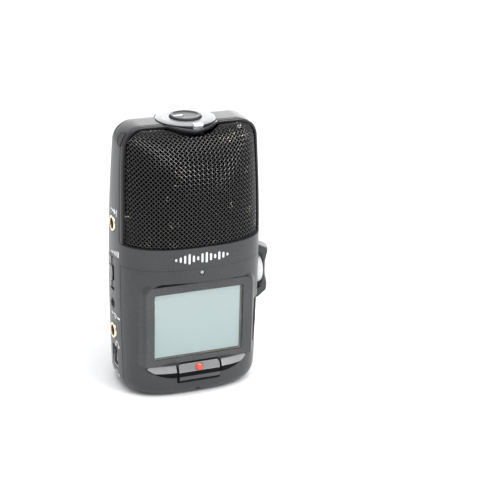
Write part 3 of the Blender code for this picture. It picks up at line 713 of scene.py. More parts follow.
def cover_levels(facing):
    levels = foot_levels(FOOT_SIDE_R, 16)
    if facing < 0:
        levels += [9, 10.5, 12, 13.4, PLATE_LOW - 0.05, PLATE_LOW + 0.05]
        levels += list(np.arange(17, 46, 3.0))
        levels += list(np.arange(46, 52.2, 0.2))
        levels += [53.2, 54.6]
    else:
        levels += list(np.arange(11, 54, 3.0))
    rows = [(float(z), 0.0) for z in levels]
    for turn in (0, 30, 60, 90):
        a = math.radians(turn)
        rows.append((COVER_TOP - 0.12 + 0.12 * math.sin(a), 0.12 * (1 - math.cos(a))))
    return rows


def wing_shape(side, grow, back):
    """Trim beside the key: a broad upper facet, a narrow lower one, a pointed end."""
    rings = []
    first = KEY_X + 0.65
    last = 21.4
    for i in range(41):
        t = i / 40
        x = first - grow + t * (last - first + 2 * grow)
        body = depth_at(x, 11.5)
        top_z = 14.35 - 0.75 * t ** 2
        low_z = 8.9 + 3.9 * max(t, 0.0) ** 2
        mid_z = max(11.25, low_z + 0.1)
        crease = body + 0.35
        top_y = min(crease - 0.5 * (top_z - mid_z), 18.9)
        low_y = min(body - 0.2, crease - 0.05)
        rear = top_y - back
        front = grow * 8
        ring = [
            (top_y + front, top_z + grow),
            (crease + front, mid_z),
            (low_y + front, low_z - grow),
            (rear, low_z - grow),
            (rear, top_z + grow),
        ]
        rings.append([(side * x, -y, z) for y, z in ring])
    return loft(rings)


def key_outline(grow):
    """Front outline of the record key: rounded above, square below."""
    top = 1.7 + grow
    foot = 0.35 + grow
    half = KEY_X + grow
    outline = []
    for sx, sz, r, start in ((1, 1, top, 0), (-1, 1, top, 90), (-1, -1, foot, 180), (1, -1, foot, 270)):
        middle_z = KEY_HIGH + grow - r if sz > 0 else KEY_LOW - grow + r
        for k in range(9):
            turn = math.radians(start + 90 * k / 8)
            outline.append((sx * (half - r) + r * math.cos(turn), middle_z + r * math.sin(turn)))
    return outline


def key_opening():
    outline = key_outline(0.32)
    return loft([[(x, y, z) for x, z in outline] for y in (-30, -10)])


def painted_shade_trim(middle, normal):
    """Painted shade: faces of the ledge above the display plate and of the right wall of its opening are
    painted matt black, for the shadow line under the ledge and the shaded wall.
    """
    inside = abs(middle.x) < 19.3 and OPEN_LOW + 0.3 < middle.z < OPEN_HIGH - 0.3
    if middle.y > -15.5 or (inside and middle.x < 18):
        return False
    if inside:
        return abs(normal.x) > 0.8
    # Painted shadow line under the ledge: widest at the left, narrowing to the right.
    shade_wedge = 0.8 * smooth((middle.x + 20.5) / 5) * (1 - 0.65 * smooth((middle.x + 11) / 13))
    mask = plate_mask(middle.x, middle.z)
    return middle.z > PLATE_TOP - 1.2 and 0.93 - shade_wedge < mask < 0.93 and middle.x < 21


def make_front_cover():
    openings = merged([
        slab((-OPEN_X, -30, OPEN_LOW), (OPEN_X, -10, OPEN_HIGH), 0.5, 1),
        key_opening(),
        rod((0, 0, 54.8), (0, -1, 0), 1.1, 10, 30, 40),
        panel_opening(),
        box((-13.3, -13.5, -3), (13.3, -9.2, 2.2)),
    ])
    steps = [
        ("DIFFERENCE", case_hollow(WALL, 62, 17.0)),
        ("DIFFERENCE", openings),
        ("DIFFERENCE", merged([wing_shape(side, GAP, 0.8) for side in (-1, 1)])),
        ("DIFFERENCE", slab((-1.2, -21, 1.8), (0.75, -17.6, 2.45), 0.25, 1, 3)),
    ]
    rings = [cover_ring(z, -1, drawn) for z, drawn in cover_levels(-1)]
    mesh = carved("cover_front", loft(rings), steps)
    # Plate faces get the lighter plate tone, partly painted light over its flanks; the ledge and the
    # opening's right wall get painted shade.
    place("cover_front", mesh, "shell", "case", ["front_cover"], sharp=26,
          other=("plate", lambda middle, normal: middle.y < -15.5 and middle.z > PLATE_LOW
                 and plate_mask(middle.x, middle.z) > 0.93),
          third=("matt_black_and_painted_shade", painted_shade_trim))


def make_rear_cover():
    shapes = []
    for x, z in screw_places():
        mouth = depth_at(x, z) - 0.9
        shapes.append(spun([(0, 5), (1.1, 5), (1.1, mouth - 0.6), (1.75, mouth - 0.6),
                            (1.75, 30), (0, 30)], (x, 0, z), (0, 1, 0), 40))
    steps = [
        ("DIFFERENCE", case_hollow(WALL, 62)),
        ("DIFFERENCE", box((-17.5, 12, 6.2), (17.5, 30, 52.0))),
        ("DIFFERENCE", merged(shapes)),
    ]
    rings = [cover_ring(z, 1, drawn) for z, drawn in cover_levels(1)]
    mesh = carved("cover_rear", loft(rings), steps)
    place("cover_rear", mesh, "shell", "case", ["rear_cover"])


def screw_places():
    return [(x, z) for z in (12.0, 49.0) for x in (-21.5, 21.5)]


make_frame()
make_front_cover()
make_rear_cover()


# ---------------------------------------------------------------- woven grilles

WIRE_R = 0.165
PITCH = 1.315
WEAVE = 0.17


def arc_tables():
    """Arc length across the grille and up it, so the weave isn't stretched."""
    half = mesh_edge(MESH_LOW + 4)
    xs = np.linspace(0, half, 600)
    ys = np.array([mesh_depth(x, 72.0) for x in xs])
    across = np.concatenate([[0], np.cumsum(np.hypot(np.diff(xs), np.diff(ys)))])
    zs = np.linspace(MESH_LOW, TOP_Z - MESH_INSET, 900)
    ds = np.array([mesh_depth(0, z) for z in zs])
    up = np.concatenate([[0], np.cumsum(np.hypot(np.diff(zs), np.diff(ds)))])
    return xs, across, zs, up


def weave_point(s, t, tables):
    """Spot at arc lengths s across and t up the grille, or None past its edge."""
    xs, across, zs, up = tables
    if not 0 <= t <= up[-1] or abs(s) > across[-1] + 3:
        return None
    x = math.copysign(float(np.interp(abs(s), across, xs)), s)
    x += math.copysign(max(abs(s) - across[-1], 0.0) * 0.3, s)
    z = float(np.interp(t, up, zs))
    depth = mesh_depth(x, z)
    under_dial = math.hypot(x, depth) <= 13.5 and z >= 104
    if abs(x) > mesh_edge(z) - 0.1 or under_dial:
        return None
    return x, depth, z


def weave_paths():
    """Strands as lists of (x, depth, z, wave), where wave runs from 1 over to -1 under."""
    tables = arc_tables()
    width = tables[1][-1] + 4
    height = tables[3][-1]
    reach = int((width + height) / PITCH / math.sqrt(2)) + 4
    step = PITCH / 2
    span = int((width + height) * 1.5 / step)
    strands = []
    for family in (1, -1):
        for line in range(-reach, reach + 1):
            run = []
            for k in range(-span, span + 1):
                along = k * step
                s = (along + family * line * PITCH) / math.sqrt(2)
                t = (family * along - line * PITCH) / math.sqrt(2) + height / 2
                spot = weave_point(s, t, tables)
                if spot:
                    run.append((*spot, family * math.cos(math.pi * (k / 2 + line))))
                elif run:
                    strands.append(run)
                    run = []
            if run:
                strands.append(run)
    return [run for run in strands if len(run) > 2]


def tube(run, facing, sides=5):
    spots = np.array([(x, facing * d, z) for x, d, z, _ in run])
    wave = np.array([w for _, _, _, w in run])
    normal = np.array([surface_normal(x, z, facing) for x, _, z, _ in run])
    centre = spots + normal * (WEAVE * wave - WIRE_R - WEAVE)[:, None]
    along = np.gradient(centre, axis=0)
    along /= np.linalg.norm(along, axis=1)[:, None]
    side = np.cross(along, normal)
    side /= np.linalg.norm(side, axis=1)[:, None]
    up = np.cross(side, along)
    points = []
    for i in range(len(run)):
        for j in range(sides):
            turn = 2 * math.pi * j / sides
            points.append(tuple(centre[i] + WIRE_R * (math.cos(turn) * side[i] + math.sin(turn) * up[i])))
    faces = []
    for i in range(len(run) - 1):
        for j in range(sides):
            k = (j + 1) % sides
            faces.append([i * sides + j, i * sides + k, (i + 1) * sides + k, (i + 1) * sides + j])
    faces.append(list(range(sides))[::-1])
    faces.append([(len(run) - 1) * sides + j for j in range(sides)])
    return points, faces


def surface_normal(x, z, facing):
    e = 0.05
    edge = mesh_edge(z) - 0.01
    x = max(min(x, edge - e), e - edge)
    top = TOP_Z - MESH_INSET - 0.02
    z = min(z, top - e)
    dx = (mesh_depth(x + e, z) - mesh_depth(x - e, z)) / (2 * e)
    dz = (mesh_depth(x, z + e) - mesh_depth(x, z - e)) / (2 * e)
    normal = np.array([-dx, facing * 1.0, -dz])
    return normal / np.linalg.norm(normal)


def make_grille(name, facing, node, strands):
    shape = merged([tube(run, facing) for run in strands])
    place(name, shape, "wire", "case", [node], sharp=60)


def make_shade_sheet(name, facing):
    """Near-black sheet a little way behind the wires: painted shade for the dark inside of the head."""
    rings = []
    for i in range(41):
        z = MESH_LOW + (TOP_Z - MESH_INSET - 0.6 - MESH_LOW) * (1 - (1 - i / 40) ** 1.6)
        outer = []
        inner = []
        for j in range(61):
            x = math.sin(math.pi / 2 * (j / 30 - 1)) * (mesh_edge(z) - 0.3)
            normal = surface_normal(x, z, facing)
            spot = np.array([x, facing * mesh_depth(x, z), z])
            outer.append(tuple(spot - normal * 2.2))
            inner.append(tuple(spot - normal * 2.6))
        rings.append(outer + inner[::-1])
    place(name, loft(rings), "shade_sheet", "case")


STRANDS = weave_paths()
make_grille("grille_front", -1, "front_grille", STRANDS)
make_grille("grille_rear", 1, "rear_grille", STRANDS)
make_shade_sheet("shade_sheet_front", -1)
make_shade_sheet("shade_sheet_rear", 1)


def rim_line():
    """Left-to-right path as (x, dip under the dial, z), just outside the band."""
    start = TOP_Z - CROWN_R
    top = band_half(TOP_Z)
    inset = 0.12
    reach = width_at(band_half(start), start) - inset
    line = [(-width_at(band_half(z), z) + inset, 0.0, z) for z in np.linspace(MESH_LOW, start, 15)]
    for turn in range(9, 91, 9):
        a = math.radians(turn)
        line.append((-reach + CROWN_R * (1 - math.cos(a)), 0.0, start + (CROWN_R - inset) * math.sin(a)))
    line += [(-15.0, 0.0, TOP_Z - inset), (-13.0, 0.0, TOP_Z - inset), (-11.2, 0.1, TOP_Z - inset - 0.1)]
    for turn in range(34, 91, 7):
        a = math.radians(turn)
        drop = 1.4 * ((turn - 30) / 60) ** 1.3
        line.append((-12.0 * math.cos(a), 12.0 * math.sin(a) - top - 0.45, TOP_Z - inset - 0.15 - drop))
    return line + [(-x, y, z) for x, y, z in line[:-1]][::-1]


def softened(line):
    """Line with each corner cut once."""
    fresh = [line[0]]
    for a, b in zip(line, line[1:]):
        a = Vector(a)
        b = Vector(b)
        fresh.append(tuple(a * 0.75 + b * 0.25))
        fresh.append(tuple(a * 0.25 + b * 0.75))
    return fresh + [line[-1]]


def make_rim(name, facing, node):
    """Round bead along the edge of the grille, dipping below the dial."""
    line = softened(rim_line())
    outline = [(0, -0.6), (0.0, 0.4), (0.08, 0.7), (0.25, 0.95), (0.5, 1.08), (0.75, 1.05),
               (0.98, 0.9), (1.13, 0.65), (1.2, 0.35), (1.2, -0.6)]
    rings = []
    for i, (x, y, z) in enumerate(line):
        before = Vector(line[max(i - 1, 0)])
        after = Vector(line[min(i + 1, len(line) - 1)])
        along = (after - before).normalized()
        along.y = -along.y
        lift = min(y / 4.0, 1.0)
        out = Vector((0, -1, 1.3 * lift))
        out = (out - along * out.dot(along)).normalized()
        inward = along.cross(out)
        centre = Vector((x, -y - band_half(z) - SEAM, z))
        ring = [centre + inward * n + out * b for n, b in outline]
        rings.append([(p.x, -facing * p.y, p.z) for p in ring])
    place(name, loft(rings), "rim", "case", [node], sharp=50)


def make_pins(facing, word):
    """Bright rivet at each lower corner of the rim."""
    shapes = []
    for side in (-1, 1):
        spot = (side * (width_at(BAND_Y + 0.6, 66.1) - 0.55), facing * (BAND_Y + 0.75), 66.1)
        shapes.append(spun([(0, -0.5), (0.5, -0.5), (0.5, 0.05), (0.4, 0.2), (0.2, 0.28), (0, 0.3)], spot,
                           (side * 0.55, facing, 0), 24))
    place("rim_pins_" + word, merged(shapes), "steel", "case")


make_pins(-1, "front")
make_pins(1, "rear")
make_rim("rim_front", -1, "front_grille_rim")
make_rim("rim_rear", 1, "rear_grille_rim")
for side, word in ((-1, "left"), (1, "right")):
    place("tab_" + word, tab_shape(side, 2.8, 4.3, CROWN_R - 0.12, CROWN_R - 0.7), "tab",
          "case", ["rim_tab_" + word])


# ---------------------------------------------------------------- top dial

ring_profile = [(6.55, 112.4), (11.7, 112.4), (11.95, 112.5), (12.0, 112.6), (11.95, 112.7),
                (11.8, 112.76), (9.3, 112.9), (6.9, 113.0), (6.6, 112.95), (6.55, 112.85)]
scale_mesh = carved("dial_scale", looped(ring_profile, (0, 0, 0), (0, 0, 1), 160),
                    [("DIFFERENCE", box((-1.05, -14, 112), (3.35, -9.9, 114)))])
place("dial_scale", scale_mesh, "silver", "case", ["mode_scale_ring"])

tab_outline = [(-10.2, 110.55), (-10.9, 110.55), (-11.1, 110.7), (-11.25, 111.6), (-12.0, 112.2),
               (-12.15, 112.4), (-12.25, 112.75), (-12.2, 112.95), (-12.0, 113.1), (-10.2, 113.1)]
tab_rings = [[(x, y, z) for y, z in tab_outline] for x in (-0.75, -0.5, 2.8, 3.05)]
place("dial_lamp", loft(tab_rings), "lens", "case", ["mode_lamp_tab"])

knob_profile = [(0, 105.6), (2.0, 105.6), (2.0, 112.4), (6.05, 112.4), (6.2, 112.55, 1),
                (6.25, 112.8, 1), (6.25, 113.45, 1), (6.1, 113.7, 1), (5.8, 113.85), (5.5, 113.85),
                (5.2, 113.7), (4.9, 113.5), (4.4, 113.42), (2.5, 113.38), (0, 113.36)]
knob_mesh = carved("dial_knob", spun(knob_profile, (0, 0, 0), (0, 0, 1), 240, 0.22),
                   [("DIFFERENCE", slab((-5.4, -0.8, 113.0), (-0.7, 0.8, 115), 0.4, 2))])
place("dial_knob", knob_mesh, "knob", "dial", ["mode_dial"])
place("dial_pointer", slab((-5.1, -0.5, 113.3), (-1.0, 0.5, 113.75), 0.35, 2), "white", "dial",
      ["mode_pointer"])


# ---------------------------------------------------------------- printed marks

def print_shape(outlines, spot):
    """Thin raised ink: each outline is carried onto the surface by spot."""
    shapes = []
    for outline in outlines:
        low = [spot(u, v, -0.04) for u, v in outline]
        high = [spot(u, v, 0.025) for u, v in outline]
        shapes.append(loft([low, high]))
    return merged(shapes)


def bar(u0, v0, u1, v1):
    return [(u0, v0), (u1, v0), (u1, v1), (u0, v1)]


def stroke(points, width):
    """Outline of a poly-line drawn with a pen of some width."""
    left = []
    right = []
    for i, point in enumerate(points):
        a = Vector(points[max(i - 1, 0)])
        b = Vector(points[min(i + 1, len(points) - 1)])
        along = (b - a).normalized()
        side = Vector((-along.y, along.x)) * width / 2
        left.append(tuple(Vector(point) + side))
        right.append(tuple(Vector(point) - side))
    return left + right[::-1]


def arc_points(u, v, radius, start, end, steps=14):
    return [(u + radius * math.cos(math.radians(start + (end - start) * i / steps)),
             v + radius * math.sin(math.radians(start + (end - start) * i / steps)))
            for i in range(steps + 1)]


def on_left(z0, y0):
    def spot(u, v, lift):
        y = y0 - u
        z = z0 + v
        return (-width_at(y, z) - lift, y, z)
    return spot


def on_front(x0, z0):
    def spot(u, v, lift):
        x = x0 + u
        z = z0 + v
        return (x, -depth_at(x, z) - lift, z)
    return spot


def on_right(z0, y0=0.0):
    def spot(u, v, lift):
        y = y0 + u
        z = z0 + v
        return (width_at(y, z) - 0.15 + lift, y, z)
    return spot


def on_top(angle, radius):
    def spot(u, v, lift):
        a = math.radians(angle)
        out = radius + v
        x = out * math.cos(a) + u * math.sin(a)
        y = out * math.sin(a) - u * math.cos(a)
        return (x, y, 113.0 - 0.049 * (out - 6.9) + lift)
    return spot


def icon_in():
    arrow = [(-1.9, 0.3), (0.2, 0.3), (0.2, 1.05), (1.7, 0), (0.2, -1.05), (0.2, -0.3), (-1.9, -0.3)]
    return [arrow, bar(2.1, -1.15, 2.5, 1.15), bar(-3.2, -0.3, -2.3, 0.3)]


def icon_level():
    outlines = []
    for k in range(5):
        u = -3.2 + 1.5 * k
        outlines.append(bar(u, -1.0, u + 0.7, -0.5 + 0.38 * k))
    return outlines


def icon_remote():
    return [stroke(arc_points(0, -1.0, 0.9, 35, 145), 0.3), stroke(arc_points(0, -1.0, 1.7, 35, 145), 0.3),
            arc_points(0, -0.9, 0.34, 0, 340, 12), bar(-3.6, -0.3, -2.0, 0.3), bar(2.0, -0.3, 3.6, 0.3)]


def icon_phones():
    return [stroke(arc_points(0, -0.4, 1.5, 0, 180), 0.34), bar(-1.9, -1.2, -1.05, -0.1),
            bar(1.05, -1.2, 1.9, -0.1)]


def icon_plug():
    return [stroke([(-2.0, -0.7), (-2.0, 0.7), (0.6, 0.7), (0.6, -0.7), (-1.85, -0.7)], 0.3),
            bar(0.95, -0.5, 2.0, -0.15), bar(0.95, 0.15, 2.0, 0.5)]


def marks(name, outlines, spot):
    place(name, print_shape(outlines, spot), "white", "case", sharp=40)


def larger(outlines, share=1.25):
    return [[(u * share, v * share) for u, v in outline] for outline in outlines]


marks("mark_line_in", larger(icon_in()), on_left(77.1, -1.2))
marks("mark_level", larger(icon_level()), on_left(60.3, -2.2))
marks("mark_remote", larger(icon_remote()), on_left(32.3, -2.2))
marks("mark_phones", larger(icon_phones(), 1.1), on_left(19.8, -3.2))
marks("mark_data", larger(icon_plug()), on_left(5.6, -1.4))


def badge():
    """Plain row of level bars, in place of any lettering."""
    heights = [1.2, 2.2, 3.4, 4.4, 2.8, 1.6, 3.8, 4.4, 3.0, 1.8, 3.4, 2.4, 1.2]
    outlines = []
    for i, h in enumerate(heights):
        u = (i - 6) * 1.8
        outline = [(u + 0.42 * math.cos(a), (h / 2 - 0.42) + 0.42 * math.sin(a))
                   for a in np.linspace(0, math.pi, 7)]
        outline += [(u + 0.42 * math.cos(a), -(h / 2 - 0.42) + 0.42 * math.sin(a))
                    for a in np.linspace(math.pi, 2 * math.pi, 7)]
        outlines.append(outline)
    return outlines


marks("badge_bars", badge(), on_front(0, 61.0))

for angle, spec in ((180, 4), (128, 3), (52, 2), (0, 1)):
    outlines = [bar(-0.16, -3.4, 0.16, -2.5)]
    for k in range(spec):
        u = (k - (spec - 1) / 2) * 0.85
        outlines.append(arc_points(u, -1.4, 0.3, 0, 340, 12))
    marks("mark_mode_%d" % spec, outlines, on_top(angle, 10.4))


# ---------------------------------------------------------------- display and front keys

place("window_glass", slab((-18.85, -18.3, 17.45), (18.85, -17.8, 45.65), 0.4, 1), "glass",
      "case", ["display_window"])
place("lcd_module", slab((-18.8, -17.15, 17.4), (18.75, -15.3, 45.7), 0.2, 1, 2), "inner",
      "case", ["lcd_panel"])
place("lcd_face", slab((-18.75, -17.2, 17.98), (17.95, -17.0, 45.65), 0.2, 1, 2), "screen",
      "case")
lcd_frame = carved("lcd_frame", slab((-18.98, -17.4, 17.32), (18.62, -16.9, 45.78), 0.3, 1),
                   [("DIFFERENCE", slab((-18.8, -20, 17.6), (18.3, -10, 45.7), 0.2, 1))])
place("lcd_frame", lcd_frame, "frame", "case")
place("lcd_edge", slab((18.31, -17.46, 17.75), (18.61, -16.8, 45.6), 0.1, 1, 2), "dark_steel",
      "case")


KEY_FACE = [(6.4, 19.9), (7.65, 20.5), (7.8, 20.64), (9.35, 20.72), (9.5, 20.62), (9.62, 20.3),
            (11.0, 20.12), (11.25, 20.05), (13.0, 19.42), (14.7, 18.72)]


def key_front(z):
    zs = [z0 for z0, _ in KEY_FACE]
    ys = [y0 for _, y0 in KEY_FACE]
    return float(np.interp(z, zs, ys))


def key_half(z):
    """Half width of the key at a height, following its rounded outline."""
    top = 1.7
    foot = 0.35
    if z > KEY_HIGH - top:
        return KEY_X - rounding(z - (KEY_HIGH - top), top)
    if z < KEY_LOW + foot:
        return KEY_X - rounding(KEY_LOW + foot - z, foot)
    return KEY_X


def key_shape():
    levels = [KEY_LOW, 6.45, 6.55, 6.75, 7.2, 7.65, 7.8, 8.4, 9.2, 9.35, 9.5, 9.62, 10.3]
    levels += [11.0, 11.25, 12, 12.6]
    levels += [13.0 + 1.7 * math.sin(math.pi / 2 * k / 14) for k in range(1, 14)] + [14.69]
    soft = 0.4
    rings = []
    for z in levels:
        half = key_half(z)
        ring = [(-half, -17.4, z)]
        steps = [0, 0.01, 0.03, 0.08, 0.16, 0.28, 0.4, 0.8]
        xs = [-half + d for d in steps] + [half - d for d in steps[::-1]]
        for x in xs:
            near = min(half - abs(x), KEY_HIGH - z)
            ring.append((x, -(key_front(z) - rounding(soft - near, soft)), z))
        ring.append((half, -17.4, z))
        rings.append(ring)
    return loft(rings)


tilt = Vector((0, -4.5, 2.05)).normalized()
lens_spot = Vector((0, -19.7, 12.5))
key_mesh = carved("record_key", key_shape(), [("DIFFERENCE", rod(lens_spot, tilt, 1.65, -0.8, 3))])
# Painted shade on the record key: matt black on its middle band, bottom band, side walls and top rounding,
# and darker smoke chrome on its lower band.
place("record_key", key_mesh, "smoke", "record_key", ["rec_button"], sharp=24,
      other=("matt_black_and_painted_shade", lambda middle, normal: 9.4 < middle.z < 11.0 or middle.z < 7.7
             or abs(normal.x) > 0.4 or normal.z > 0.5),
      third=("smoke_shaded", lambda middle, normal: 7.7 <= middle.z <= 9.4 and abs(normal.x) <= 0.4))
lens_profile = [(0, -0.5), (1.5, -0.5), (1.5, 0.1), (1.42, 0.25), (1.15, 0.4), (0.7, 0.5), (0, 0.54)]
place("record_lens", spun(lens_profile, lens_spot, tilt, 48), "red", "record_key", ["rec_lens"])
for side, word in ((-1, "left"), (1, "right")):
    # Painted shade: the wings' down-facing faces and faces not turned to the front are matt black.
    place("wing_" + word, wing_shape(side, 0.0, 0.5), "facet", "case",
          [word + "_trim_wing"], sharp=20,
          other=("matt_black_and_painted_shade", lambda middle, normal: normal.z < -0.05 or normal.y > -0.3))
lamp_profile = [(0, 17.6), (0.8, 17.6), (0.8, 21.1), (0.7, 21.3), (0.45, 21.45), (0, 21.5)]
place("clip_lens", spun(lamp_profile, (0, 0, 54.8), (0, -1, 0), 40), "blue", "case",
      ["clip_lamp"])


# ---------------------------------------------------------------- left side

def jack_shape(z, outer, body, bore):
    face = 30.62
    profile = [(0, 17.2), (body, 17.2), (body, 27.7), (outer, 27.7), (outer, face - 0.3),
               (outer - 0.08, face - 0.1), (outer - 0.3, face), (bore + 0.45, face),
               (bore + 0.2, face - 0.1), (bore, face - 0.45)]
    for k in range(5):
        profile += [(bore, face - 1.0 - k * 0.8), (bore + 0.12, face - 1.3 - k * 0.8)]
    profile += [(bore, 19), (0, 19)]
    return spun(profile, (0, JACK_Y, z), (-1, 0, 0), 72)


# Faces inside a jack's bore, which get the darker gold as painted shade.
def painted_shade_in_bore(z, bore):
    def test(middle, normal):
        return math.hypot(middle.y - JACK_Y, middle.z - z) < bore + 0.25
    return test


# Gold jack rings; faces inside the bore are painted darker gold as painted shade.
for name, z, node in (("socket_line", LINE_Z, "line_in_jack"), ("socket_phones", PHONES_Z, "phones_jack")):
    place(name, jack_shape(z, 3.3, 3.6, JACK_BORE), "gold", "case", [node],
          other=("bore", painted_shade_in_bore(z, JACK_BORE)))
place("socket_remote", jack_shape(REMOTE_Z, 2.0, 2.9, 1.3), "gloss", "case", ["remote_jack"])

usb_mesh = carved("socket_data", slab((-29.2, -2.4, 8.5), (-22.4, 3.0, 17.7), 0.6, 0),
                  [("DIFFERENCE", slab((-33, -1.9, 9.0), (-24, 2.5, 17.2), 0.5, 0)),
                   ("UNION", box((-28.6, -0.2, 10.4), (-23, 0.8, 15.8)))])
place("socket_data", usb_mesh, "steel", "case", ["usb_socket"])


def rocker_shape():
    """Raised middle between two lower ends, with a sloping front flank."""
    rings = []
    for i in range(71):
        z = 43.3 + 14.0 * i / 70
        t = abs(z - 50.3)
        end = rounding(t - (7.0 - 0.8), 0.8)
        hump = smooth((3.6 - t) / 0.9)
        x = 30.6 - end * 0.9 + 0.3 * hump - 0.1 * smooth((2.4 - t) / 1.6)
        near = -1.55 + end * 0.5
        shelf = 1.3 - 1.9 * hump
        far = 3.95 - end * 0.5
        ring = [(-28.2, near, z), (-(x - 0.95), near, z), (-(x - 0.85), near + 0.1, z)]
        for a in np.linspace(0, math.pi / 2, 5):
            drop = 0.3 * (1 - math.sin(a))
            ring.append((-(x - drop), shelf - 0.3 * math.cos(a), z))
        for a in np.linspace(math.pi / 2, 0, 5):
            ring.append((-(x - 0.3 + 0.3 * math.sin(a)), far - 0.3 * (1 - math.cos(a)), z))
        ring.append((-28.2, far, z))
        rings.append(ring)
    return loft(rings)


# Painted shade: the rocker's front-facing flank is matt black, for the dark gap beside it.
place("level_rocker", rocker_shape(), "rocker", "rocker", ["volume_rocker"], sharp=40,
      other=("matt_black_and_painted_shade", lambda middle, normal: normal.y < -0.25))


# ---------------------------------------------------------------- right side

wheel_profile = [(0, 24.2), (1.4, 24.2), (1.4, 28.6), (6.2, 28.6), (6.45, 28.75, 1), (6.6, 29.1, 1),
                 (6.6, 32.2, 1), (6.45, 32.55, 1), (6.1, 32.8), (5.2, 32.8), (5.0, 32.6), (1.2, 32.6),
                 (1.0, 32.8), (0, 32.8)]
place("level_wheel", spun(wheel_profile, (0, 0, WHEEL_Z), (1, 0, 0), 240, 0.25), "pale", "wheel",
      ["gain_wheel"])


def guard_shape():
    rings = []
    outer = [(34.4, 54.6), (34.75, 53.9), (34.9, 52.9), (34.75, 51.8), (34.2, 49.6), (33.95, 48.4),
             (33.9, 47.0), (33.9, 44.0), (33.95, 42.7), (34.2, 41.5), (34.75, 39.3), (34.9, 38.2),
             (34.9, 36.2), (34.6, 35.5)]
    inner = [(32.4, 37.2), (32.65, 37.5), (32.8, 38.6), (33.2, 42.9), (33.2, 48.4), (32.85, 51.6),
             (32.7, 52.4), (32.4, 52.8)]
    for y in (-5, -4.93, -4.7, -4.2, -3, -1.5, 0, 1.5, 3, 4.2, 4.7, 4.93, 5):
        swell = 1 - (y / 5) ** 2
        edge = {5: 0.35, 4.93: 0.18, 4.7: 0.05}.get(abs(y), 0.0)
        outline = [(30.85, 56.9 - edge), (31.3, 56.5 - edge)]
        outline += [(x + 1.8 * swell - edge, z) for x, z in outer]
        outline += [(31.6, 33.0 + edge), (30.85, 32.8 + edge), (30.85, 36.9 - edge)]
        outline += [(x + 0.9 * swell, z) for x, z in inner]
        outline += [(30.85, 53.1 + edge)]
        rings.append([(x, y, z) for x, z in outline])
    return loft(rings)


place("wheel_guard", guard_shape(), "shell", "case", ["gain_guard"], sharp=34)


def panel_shape():
    rings = []
    count = 48
    for z in [15.3] + PANEL_ROWS + [36.9]:
        front = panel_front(z, -14.2, 14.6)
        run = [front + (4.2 - front) * i / count for i in range(count + 1)]
        ring = [(width_at(y, z) - 0.3, y, z) for y in run]
        ring += [(width_at(y, z) - 1.75, y, z) for y in run[::-1]]
        rings.append(ring)
    return loft(rings)


panel_mesh = carved("key_panel", panel_shape(), [("DIFFERENCE", merged([
    rod((0, -2, 30), (1, 0, 0), 2.0, 20, 40),
    slab((20, -4.8, 18.7), (40, 0.8, 27.3), 1.0, 0)]))])
place("key_panel", panel_mesh, "matt_black_and_painted_shade", "case", ["side_control_panel"])


def key_cap(back, front, half_y, half_z, y, z):
    rings = []
    rows = [(back, 0.0), (front - 0.8, 0.0), (front - 0.5, 0.06), (front - 0.25, 0.2), (front - 0.08, 0.45),
            (front, 0.85)]
    for x, draw in rows:
        outline = rounded_outline(half_y - draw, half_z - draw, max(0.7 - draw * 0.5, 0.2), 6)
        rings.append([(x, y + u, z + v) for u, v in outline])
    return loft(rings)


cap_mesh = carved("play_cap", key_cap(27.6, 30.95, 2.4, 3.1, -2, 23), [
    ("DIFFERENCE", merged([rod((0, -2, z), (1, 0, 0), 0.35, 30.8, 32, 24) for z in (21.6, 24.4)]))])
place("play_cap", cap_mesh, "rocker", "play_key", ["play_knob"])
slider = carved("power_cap", key_cap(26.6, 30.6, 2.2, 1.5, 0, 11.2), [
    ("DIFFERENCE", merged([box((30.35, -1.5, 11.2 + k - 0.12), (31, 1.5, 11.2 + k + 0.12))
                           for k in (-0.8, -0.4, 0, 0.4, 0.8)]))])
place("power_cap", slider, "rocker", "power_key", ["power_slider"])
menu_profile = [(0, 24.0), (1.7, 24.0), (1.7, 30.3), (1.6, 30.6), (1.3, 30.8), (0.6, 30.7), (0, 30.68)]
place("menu_cap", spun(menu_profile, (0, -2, 30), (1, 0, 0), 64), "rocker", "menu_key",
      ["menu_button"])
marks("mark_play", [[(-0.7, -0.8), (0.8, 0), (-0.7, 0.8)]], on_right(23, -7.6))
marks("mark_menu", [bar(-0.8, 0.5, 0.8, 0.75), bar(-0.8, -0.12, 0.8, 0.12), bar(-0.8, -0.75, 0.8, -0.5)],
      on_right(30, -7.6))


# ---------------------------------------------------------------- rear and base

def door_shape():
    rows = [(6.5, 0.25), (6.57, 0.1), (6.75, 0.0)] + [(z, 0.0) for z in np.arange(8, 51, 2.5)]
    rows += [(51.45, 0.0), (51.63, 0.1), (51.7, 0.25)]
    runs = np.linspace(-1, 1, 61)
    rings = []
    for z, drawn in rows:
        outer = []
        for r in runs:
            edge = 0.25 if abs(r) == 1 else 0.0
            outer.append((DOOR_X * r, depth_at(DOOR_X * r, z) - max(drawn, edge), z))
        inner = [(DOOR_X * r, depth_at(DOOR_X * r, z) - 1.8, z) for r in runs[::-1]]
        rings.append(outer + inner)
    return loft(rings)


door_cuts = [slab((-5, 20.6, 46.5), (5, 30, 48.5), 0.9, 1)]
for k in range(3):
    door_cuts.append(slab((-4.2, 20.85, 42.2 + k * 1.3), (4.2, 30, 42.7 + k * 1.3), 0.2, 1))
door_mesh = carved("cell_door", door_shape(), [("DIFFERENCE", merged(door_cuts))])
place("cell_door", door_mesh, "shell", "door", ["battery_door"])

